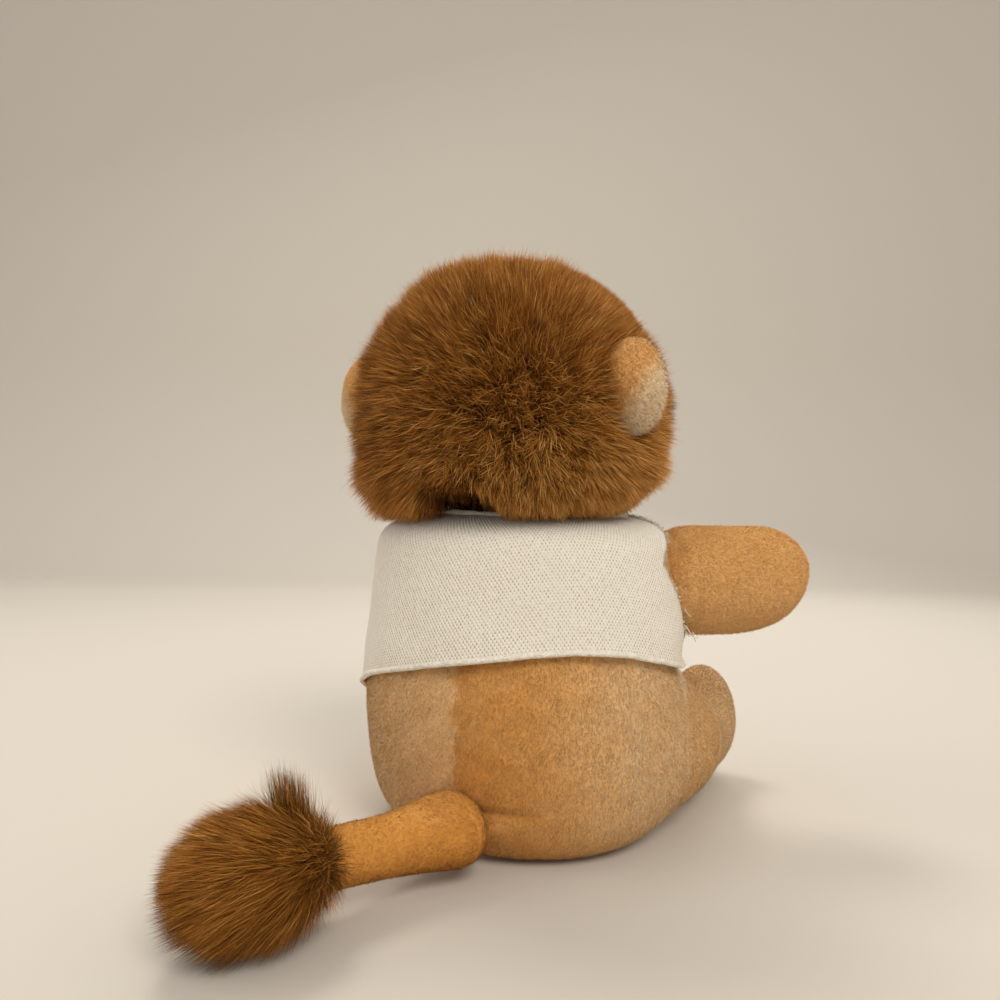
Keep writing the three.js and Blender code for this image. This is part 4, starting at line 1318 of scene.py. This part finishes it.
def ear_blocks(path):
    """True for strands that would run into an ear or the room it folds in."""
    hit = np.zeros(len(path[0]), bool)
    for level in path:
        for side, _ in SIDES:
            local = ear_local(level, side)
            q = (local - [0, EAR_MIDDLE, 0]) / (EAR_RADII + EAR_ROOM)
            hit |= (np.linalg.norm(q, axis=1) < 1) & (local[:, 1] < EAR_HIDDEN)
    return hit


def hollow_blocks(path):
    """True for strands that would run through the hollow at the nape."""
    hit = np.zeros(len(path[0]), bool)
    for low, high in zip(path, path[1:]):
        for share in (0.0, 0.33, 0.67, 1.0):
            hit |= in_ellipsoid(low * (1 - share) + high * share, HOLLOW_CENTRE, HOLLOW_RADII)
    return hit


def hair_object(name, path, normals, width, tone, pick, rng):
    """The picked strands of the head's long pile as one piece."""
    strand_object(name, [level[pick] for level in path], normals[pick], width[pick],
                  np.clip(tone[pick], *TONE_RANGE), rng, mane_pile, "head", "mane_pile", HAIR_SOFTEN)


MANE_DENSITY = 5.2
MANE_FRONT = -8.0
MANE_LENGTH = (15.5, 19.5)
MANE_TONE = 0.35
MANE_GUARD_PALER = 0.32
MANE_CORNER_WAY = np.array([0.5, 0.1, -0.75])
MANE_SPLIT = 22.0
scalp = mane_scalp()


def mane_tone(points, locks, guard, blocked, rng):
    """Paler low down; painted light on the right side, and painted shade on the left side, in the dents by
    the ears and in the hollow.
    """
    x, z = points[:, 0], points[:, 2]
    tone = MANE_TONE + 0.06 * noise(points, 12, 75) + 0.05 * noise(points, 40, 76)
    tone += rng.normal(0, 0.14, len(points))
    tone += np.where(guard, MANE_GUARD_PALER, 0.0) + (0.08 + 0.1 * locks) * noise(points, 5, 77)
    # Painted light on the lion's right side; paler low down
    tone += 0.16 * fade(x, -5, -35) * fade(z, 210, 180) + 0.14 * fade(z, 178, 153)
    # Painted shade: darker on the lion's left side, in the dents by the ears and in the hollow at the nape
    return tone - 0.12 * fade(x, 5, 45) - NOTCH_PAINTED_SHADE * ear_notch(points) - 0.25 * blocked


def mane_build():
    rng = np.random.default_rng(SEED + 71)
    dress(scalp.object("mane_cloth_back", mane_cloth), "head", "mane_pile", "mane_back", fill=0.85)
    points, normals = scalp.sample(MANE_DENSITY, rng, lambda p, n: np.where(p[:, 1] > MANE_FRONT, 1.0, 0.0))
    n = len(points)
    x, z = points[:, 0], points[:, 2]
    reach = np.linalg.norm(points - WHORL, axis=1)
    away = flattened(points - WHORL, normals)
    lean = np.interp(reach, [0, 30, 60, 120], [0.05, 0.18, 0.34, 0.42])
    lean = np.clip(lean + 0.16 * noise(points, 18, 72) + rng.normal(0, 0.08, n), 0.05, 0.8)[:, None]
    swirl = np.cross(normals, away) * (0.7 * noise(points, 26, 73) + rng.normal(0, 0.3, n))[:, None]
    crossing = rng.normal(0, 1, (n, 3)) * np.interp(reach, [0, 25, 60], [0.5, 0.35, 0.2])[:, None]
    start = unit(normals * (1 - lean * 0.7) + (away + swirl) * lean * 0.7 + 0.5 * crossing)
    droop = np.array([0, 0, -1.0]) * np.clip((205 - z) / 70, 0, 0.35)[:, None]
    end = unit(normals * (1 - lean) + (away + swirl) * lean + droop + crossing)
    loose = rng.random(n) < np.interp(reach, [0, 35, 55], [0.4, 0.3, 0.05])
    end[loose] = unit(unit(np.cross(normals, rng.normal(size=(n, 3)))) + 0.35 * normals)[loose]
    size = rng.uniform(*MANE_LENGTH, n) * (1 + 0.1 * noise(points, 14, 74))
    size *= np.interp(z, [145, 165], [0.8, 1.0])
    corner = fade(x, 10, 50) * fade(z, 172, 152)
    end = unit(end + corner[:, None] * MANE_CORNER_WAY)
    guard = rng.random(n) < GUARD_SHARE
    size *= 1 - 0.22 * fade(x, -20, -45) * fade(z, 205, 230)
    size *= 1 - 0.25 * fade(x, 0, -20) * fade(z, 168, 156)
    size *= (1 + 0.45 * corner) * np.where(guard, 1.08, 0.92) * (1 - 0.5 * ear_notch(points))
    path = strand_paths(points - normals, start, end, size, 2)
    locks = np.interp(reach, [0, 50, 85], [1.0, 0.8, 0.1])
    path = clump(path, 60, 0.18 + 0.22 * locks, rng)
    path = clump(path, 6, 0.35 + 0.1 * locks, rng)
    free = ~ear_blocks(path) & (path[-1][:, 2] > HAIR_FLOOR)
    blocked = hollow_blocks(path)
    path = [np.where(blocked[:, None], path[0] + (level - path[0]) * HOLLOW_PILE, level) for level in path]
    free &= ~(blocked & in_ellipsoid(path[-1], HOLLOW_CENTRE, HOLLOW_RADII * HOLLOW_CORE))
    tone = mane_tone(points, locks, guard, blocked, rng)
    width = hair_width(guard, rng)
    zones = {"left": x > MANE_SPLIT, "right": x < -MANE_SPLIT, "middle": np.abs(x) <= MANE_SPLIT}
    for word, zone in zones.items():
        hair_object(f"mane_strands_{word}", path, normals, width, tone, zone & free, rng)


RUFF_CENTRE = np.array([0.0, -12.0, 193.0])
RUFF_RADIUS = 46.0
RUFF_THICK = 7.0
RUFF_DEEP = 9.0
RUFF_COLUMNS = 72
RUFF_ROWS = 14
RUFF_DENSITY = 3.4
RUFF_LENGTH = (12, 18)
RUFF_TONE = 0.38
# Under the chin the hair grows on the ruff's inner side too
RUFF_CHIN = 166.0
RUFF_FLOOR = 136.0


def ruff_skin():
    way = upright_circle(RUFF_COLUMNS)
    stack = []
    for a in angles(RUFF_ROWS):
        radius = RUFF_RADIUS + RUFF_THICK * math.cos(a)
        stack.append(way * radius + [0, RUFF_DEEP * math.sin(a), 0] + RUFF_CENTRE)
    return rings([*stack, stack[0]]).flipped()


def ruff_build():
    rng = np.random.default_rng(SEED + 81)
    skin = ruff_skin()
    dress(skin.object("mane_cloth_ruff", mane_cloth), "head", "mane_pile", "mane_ruff", fill=0.8)

    def outer(p, n):
        out = unit((p - RUFF_CENTRE) * [1, 0, 1])
        return np.where((n * out).sum(1) > np.where(p[:, 2] < RUFF_CHIN, -0.85, -0.45), 1.0, 0.0)

    points, normals = skin.sample(RUFF_DENSITY, rng, outer)
    n = len(points)
    x, z = points[:, 0], points[:, 2]
    out = unit((points - RUFF_CENTRE) * [1, 0, 1])
    inner = np.clip(-(normals * out).sum(1) / 0.5, 0, 1) * (z < RUFF_CHIN)
    out = out * (1 - inner)[:, None]
    start = unit(normals + out * 0.8)
    bend = 0.35 * noise(points, 20, 82)[:, None] * np.cross(out, [0, 1.0, 0])
    end = unit(normals * 0.6 + out + bend + rng.normal(0, 0.12, (n, 3)) + [0, 0, -0.15])
    size = rng.uniform(*RUFF_LENGTH, n) * (1 - 0.5 * ear_notch(points)) * (1 - 0.5 * inner)
    size *= 1 - 0.4 * fade(x, -10, -30) * fade(z, 195, 215)
    drop = np.maximum(-end[:, 2] * RUFF_LENGTH[1], 1e-3)
    size *= np.clip((z - RUFF_FLOOR) / drop, 0.25, 1) ** (end[:, 2] < 0)
    path = strand_paths(points - normals, start, end, size, 2)
    path = clump(path, 50, 0.3, rng)
    path = clump(path, 7, 0.35, rng)
    free = ~ear_blocks(path) & (path[-1][:, 2] > HAIR_FLOOR)
    guard = rng.random(n) < GUARD_SHARE
    tone = RUFF_TONE + 0.1 * noise(points, 12, 83) + rng.normal(0, 0.12, n)
    # Painted shade: the ruff is painted darker in the dents by the ears
    tone += np.where(guard, GUARD_PALER, 0) - NOTCH_PAINTED_SHADE * ear_notch(points)
    hair_object("ruff_strands", path, normals, hair_width(guard, rng), tone, free, rng)


CROWN_DENSITY = 4.2
CROWN_LENGTH = (8.5, 11.5)
CROWN_TONE = 0.36
CROWN_SPAN = (-14.0, 45.0)
CROWN_BOTTOM = 160.0
CROWN_UNDER = 3.0


def crown_build():
    """Hair on the part of the head that stands out between mane and ruff."""
    rng = np.random.default_rng(SEED + 87)
    tree = scalp.tree()

    def bare(p, n):
        shown = (p[:, 1] > CROWN_SPAN[0]) & (p[:, 1] < CROWN_SPAN[1]) & (p[:, 2] > CROWN_BOTTOM)
        for i in np.flatnonzero(shown):
            place, out, _, _ = tree.find_nearest(Vector(p[i]))
            shown[i] = (Vector(p[i]) - place).dot(out) > -CROWN_UNDER
        return np.where(shown, 1.0, 0.0)

    points, normals = head.sample(CROWN_DENSITY, rng, bare)
    n = len(points)
    away = flattened(points - WHORL, normals)
    swirl = np.cross(normals, away) * (0.4 * noise(points, 22, 88) + rng.normal(0, 0.2, n))[:, None]
    start = unit(normals * 0.8 + (away + swirl) * 0.4)
    end = unit(normals * 0.35 + (away + swirl) * 0.8 + rng.normal(0, 0.12, (n, 3)))
    guard = rng.random(n) < GUARD_SHARE
    size = rng.uniform(*CROWN_LENGTH, n) * (1 + 0.1 * noise(points, 14, 89)) * (1 - 0.4 * ear_notch(points))
    path = strand_paths(points - normals, start, end, size, 2)
    path = clump(path, 50, 0.2, rng)
    path = clump(path, 6, 0.35, rng)
    tone = CROWN_TONE + 0.08 * noise(points, 12, 90) + rng.normal(0, 0.13, n)
    # Painted shade: the crown is painted darker in the dents by the ears
    tone += np.where(guard, GUARD_PALER, 0) - NOTCH_PAINTED_SHADE * ear_notch(points)
    hair_object("crown_strands", path, normals, hair_width(guard, rng), tone, ~ear_blocks(path), rng)


mane_build()
ruff_build()
crown_build()


# Vest: one knitted sheet drawn over the torso, rolled at the neck and at the hem

STITCHES = 286
ROW_HEIGHT = 1.2
VEST_MAP = 110.0
VEST_COLUMNS = 420
VEST_ROWS = 70
VEST_NECK_RADIUS = 46.0
VEST_GAP = 0.9
VEST_THICKNESS = 1.1
VEST_SHOULDER = 132.0
YARN_TONES = [(0.3, (214, 204, 186)), (0.7, (240, 233, 220))]
# The last two stops are painted shade in the holes between the stitches
KNIT_TONES = [(0.0, (236, 229, 216)), (0.6, (230, 221, 206)), (0.95, (206, 194, 175)), (1.0, (184, 169, 148))]


def knit_material():
    """Rows of stitches from the map, with the holes between them deeper and painted darker as shade."""
    material, tree, shader = nodes_of("knit_yarn", 0.9, 0.15)
    along, upward = map_axes(tree)
    across = math_node(tree, "COSINE", math_node(tree, "MULTIPLY", along, STITCHES * 2 * math.pi))
    upward = math_node(tree, "COSINE", math_node(tree, "MULTIPLY", upward, VEST_MAP / ROW_HEIGHT * math.pi))
    grid = math_node(tree, "MULTIPLY", math_node(tree, "MULTIPLY", across, upward), 0.85)
    uneven = math_node(tree, "SUBTRACT", math_node(tree, "MULTIPLY", noise_node(tree, 620), 1.3), 0.35)
    holes = math_node(tree, "ADD", grid, uneven)
    tree.links.new(ramp(tree, KNIT_TONES, holes), shader.inputs["Base Color"])
    add_bump(tree, shader, math_node(tree, "MULTIPLY", holes, -1.0), 0.45, 0.0006)
    return material


def vest_grid():
    """Rows of points from the hem up to the neck, and each one's distance from the hem along the cloth."""
    theta = angles(VEST_COLUMNS)
    line = BODY_LINE[::-1]
    arc = np.concatenate([[0], np.cumsum(np.linalg.norm(np.diff(line, axis=0), axis=1))])
    neck_at = np.interp(VEST_NECK_RADIUS, line[:40, 0], arc[:40])
    edge = circle(VEST_COLUMNS) * [BODY_RADIUS, BODY_RADIUS * BODY_DEPTH_SHARE, 1]
    hem_at = np.interp(-hem_height(edge), -line[:, 1], arc)
    share = np.linspace(1, 0, VEST_ROWS + 1)[:, None]
    at = neck_at + (hem_at - neck_at)[None] * share
    radius, height = np.interp(at, arc, line[:, 0]), np.interp(at, arc, line[:, 1])
    verts = np.stack([radius * np.cos(theta), radius * np.sin(theta) * BODY_DEPTH_SHARE, height], 2)
    return verts, hem_at[None] - at


def vest_drape(skin):
    """Lifts the knit into its folds and off the torso under it."""
    share = np.repeat(np.linspace(1, 0, VEST_ROWS + 1), VEST_COLUMNS)
    theta = np.tile(angles(VEST_COLUMNS), VEST_ROWS + 1)
    lift = VEST_GAP + 0.5 * noise(skin.verts, 40, 91) * (0.3 + share)
    lift += 1.8 * bell(skin.verts[:, 2], VEST_SHOULDER, 9)
    lift += 0.18 * np.exp(-(1 - share) / 0.18) * np.sin(theta * 34 + 3 * np.sin(theta * 5))
    lift -= vest_pinch(skin.verts)
    skin.verts = skin.verts + skin.normals * lift[:, None]
    tree = torso.tree()
    for i, point in enumerate(skin.verts):
        place, out, _, _ = tree.find_nearest(Vector(point))
        short = VEST_GAP - (Vector(point) - place).dot(out)
        if short > 0:
            skin.verts[i] += np.array(out) * short


def vest_cut(skin):
    """Snaps the points near the armholes to their rims; gives the points inside and those on each rim."""
    inside = np.zeros(len(skin.verts), bool)
    edges = {}
    for side, _ in SIDES:
        off, rim = armhole(skin.verts)
        near = skin.verts[:, 0] * side > ARMHOLE_INNER
        snap = near & (np.abs(off - rim) < 0.7)
        radial = (skin.verts - SHOULDER) * [0, 1, 1]
        skin.verts[snap] += (radial * (rim / off - 1)[:, None])[snap]
        inside |= near & (off < rim + 0.05) | snap
        edges[side] = np.flatnonzero(snap)
    return inside, edges


def vest_build():
    grid, up = vest_grid()
    skin = rings(list(grid))
    vest_drape(skin)
    inside, edges = vest_cut(skin)
    faces, corners = [], []
    for i in range(VEST_ROWS):
        for j in range(VEST_COLUMNS):
            places = [(i, j), (i, j + 1), (i + 1, j + 1), (i + 1, j)]
            quad = tuple(row * VEST_COLUMNS + column % VEST_COLUMNS for row, column in places)
            if inside[list(quad)].all():
                continue
            faces.append(quad)
            for row, column in places:
                corners.append((column / VEST_COLUMNS, up[row, column % VEST_COLUMNS] / VEST_MAP))
    obj = Skin(skin.verts, faces).object("vest_sheet", knit_material())
    layer = obj.data.uv_layers.new(name="OFBake")
    layer.data.foreach_set("uv", np.asarray(corners, np.float32).ravel())
    thick = obj.modifiers.new("thickness", "SOLIDIFY")
    thick.thickness = VEST_THICKNESS * MM
    thick.offset = -1
    dress(obj, "torso", "knit", "vest_back", "vest_front")
    skin.shape()
    rims = {side: (skin.verts[edge], skin.normals[edge]) for side, edge in edges.items()}
    return obj, skin.verts.reshape(VEST_ROWS + 1, VEST_COLUMNS, 3), rims


thread_yarn = cloth_material("thread_yarn", YARN_TONES, 700, 0.8)
yarn_pile = pile_material("yarn_pile", [(0.0, (214, 204, 186)), (1.0, (240, 234, 222))], 225, 0.9, 0.0, 3.0)
vest_obj, vest_verts, vest_rims = vest_build()


def edge_roll(name, line, radius, seed, lift, *nodes):
    """The knit's edge curls into a roll."""
    wobble = noise(line, 18, seed)
    middle = line + np.stack([0 * wobble, 0 * wobble, lift + 0.4 * wobble], 1)
    closed = np.concatenate([middle, middle[:1]])
    size = radius * (1 + 0.15 * np.concatenate([wobble, wobble[:1]]))
    return dress(tube(closed, size, 10).object(name, thread_yarn), "torso", "knit", *nodes)


FRAY_ENDS = 6
FRAY_LENGTH = (0.8, 2.0)
FRAY_WIDTH = (0.2, 0.32)


def fray(word, points, normals, seed):
    """Cut yarn ends that stand round an armhole."""
    rng = np.random.default_rng(SEED + seed)
    points, normals = np.repeat(points, FRAY_ENDS, axis=0), np.repeat(normals, FRAY_ENDS, axis=0)
    n = len(points)
    inward = unit((SHOULDER - points) * [0, 1, 1])
    way = unit(inward + 0.5 * normals + rng.normal(0, 0.5, (n, 3)))
    root = points - inward * 0.6 + rng.normal(0, 0.35, (n, 3))
    path = strand_paths(root, way, unit(way + rng.normal(0, 0.6, (n, 3))), rng.uniform(*FRAY_LENGTH, n), 2)
    return strand_object(f"vest_fray_{word}", path, normals, rng.uniform(*FRAY_WIDTH, n), rng.random(n), rng,
                         yarn_pile, "torso", "knit", 0.1, 2.0)


# Pulled threads at the right armhole, as [place along Y, height, turns, length]
PULLED_THREADS = ((-6, 104, 1.2, 7.0), (-5, 96, 0.8, 6.0), (-8, 92, 1.6, 5.0))


def loose_thread(name, start, turns, size, seed):
    """One pulled yarn that curls away from the armhole."""
    rng = np.random.default_rng(SEED + seed)
    t = np.linspace(0, 1, 30)
    curl = 2 * math.pi * turns * t + rng.uniform(0, 6)
    rise = 0.45 * (np.cos(curl) - math.cos(curl[0])) * t - 0.3 * t
    out = np.stack([-t, 0.25 * np.sin(curl) - 0.3 * t, rise], 1)
    return dress(tube(start + out * size, 0.26 - 0.08 * t, 7).object(name, thread_yarn), "torso", "knit")


vest_trim = [
    edge_roll("vest_hem_roll", vest_verts[0], 1.25, 92, 0.6, "vest_hem"),
    edge_roll("vest_neck_roll", vest_verts[-1], 1.6, 93, 0.0),
]
for side, word in SIDES:
    vest_trim.append(fray(word, *vest_rims[side], 95 + side))
rim_points = vest_rims[-1][0]
for i, (back, high, turns, size) in enumerate(PULLED_THREADS):
    nearest = np.argmin(np.hypot(rim_points[:, 1] - back, rim_points[:, 2] - high))
    vest_trim.append(loose_thread(f"vest_thread_{i + 1}", rim_points[nearest], turns, size, 98 + i))


# The scene, in metres

# Camera for a square frame: where it looks from, its roll and its lens, worked out from the picture
CAMERA_AZIMUTH = math.radians(27.0)
CAMERA_PLACE = (-0.1695, 0.3592, 0.149)
CAMERA_ROLL = math.radians(1.0)
CAMERA_LENS = 30.6
CAMERA_AHEAD = Vector((math.sin(CAMERA_AZIMUTH), -math.cos(CAMERA_AZIMUTH), 0))
CAMERA_RIGHT = Vector((-math.cos(CAMERA_AZIMUTH), -math.sin(CAMERA_AZIMUTH), 0))
LIGHT_AIM = Vector((0, 0, 0.1))
WARM = (1.0, 0.96, 0.9)
SOFT = (1.0, 0.98, 0.95)
WORLD_STRENGTH = 0.55


def camera():
    data = bpy.data.cameras.new("camera")
    data.lens = CAMERA_LENS
    data.sensor_width = 36
    data.clip_start = 0.01
    obj = linked("camera", data)
    turn = CAMERA_AHEAD.to_track_quat("-Z", "Y").to_matrix().to_4x4()
    obj.matrix_world = Matrix.Translation(CAMERA_PLACE) @ turn @ Matrix.Rotation(CAMERA_ROLL, 4, "Z")
    bpy.context.scene.camera = obj


def floor_material():
    material, tree, shader = nodes_of("floor_plain", 0.9, 0.5)
    shader.inputs["Base Color"].default_value = linear((206, 198, 186))
    return material


def backdrop():
    """A floor that curves up into a wall, far behind the object on the side away from the camera."""
    bend, reach, depth, rise, bend_steps = 0.5, 7.0, 1.6, 4.0, 12
    line = [(-reach, 0.0), (depth - bend, 0.0)]
    for i in range(1, bend_steps + 1):
        a = math.pi / 2 * i / bend_steps
        line.append((depth - bend + bend * math.sin(a), bend - bend * math.cos(a)))
    line.append((depth, rise))
    verts = []
    for x, z in line:
        verts += [CAMERA_AHEAD * x + CAMERA_RIGHT * s + Vector((0, 0, z)) for s in (-reach, reach)]
    faces = [(2 * i, 2 * i + 1, 2 * i + 3, 2 * i + 2) for i in range(len(line) - 1)]
    mesh = bpy.data.meshes.new("floor")
    mesh.from_pydata([tuple(v) for v in verts], [], faces)
    mesh.polygons.foreach_set("use_smooth", [True] * len(faces))
    mesh.materials.append(floor_material())
    linked("floor", mesh)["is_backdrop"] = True


def area_light(name, place, size, power, colour):
    light = bpy.data.lights.new(name, "AREA")
    light.shape = "DISK"
    light.size = size
    light.energy = power
    light.color = colour
    obj = linked(name, light)
    obj.visible_camera = False
    obj.location = Vector(place)
    obj.rotation_mode = "QUATERNION"
    obj.rotation_quaternion = (LIGHT_AIM - Vector(place)).to_track_quat("-Z", "Y")


def studio_world():
    world = bpy.data.worlds.new("studio")
    bpy.context.scene.world = world
    world.use_nodes = True
    background = world.node_tree.nodes["Background"]
    background.inputs["Color"].default_value = (*SOFT, 1)
    background.inputs["Strength"].default_value = WORLD_STRENGTH


camera()
backdrop()
area_light("key", (-1.2, 1.0, 1.5), 0.9, 22, WARM)
area_light("overhead", (0.6, -0.25, 1.5), 0.6, 8, WARM)
area_light("fill", (1.4, 1.0, 0.9), 1.2, 6, SOFT)
area_light("front", (0.1, -1.0, 0.8), 0.9, 4, SOFT)
studio_world()
bpy.context.scene.view_settings.view_transform = "Standard"

low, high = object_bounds()
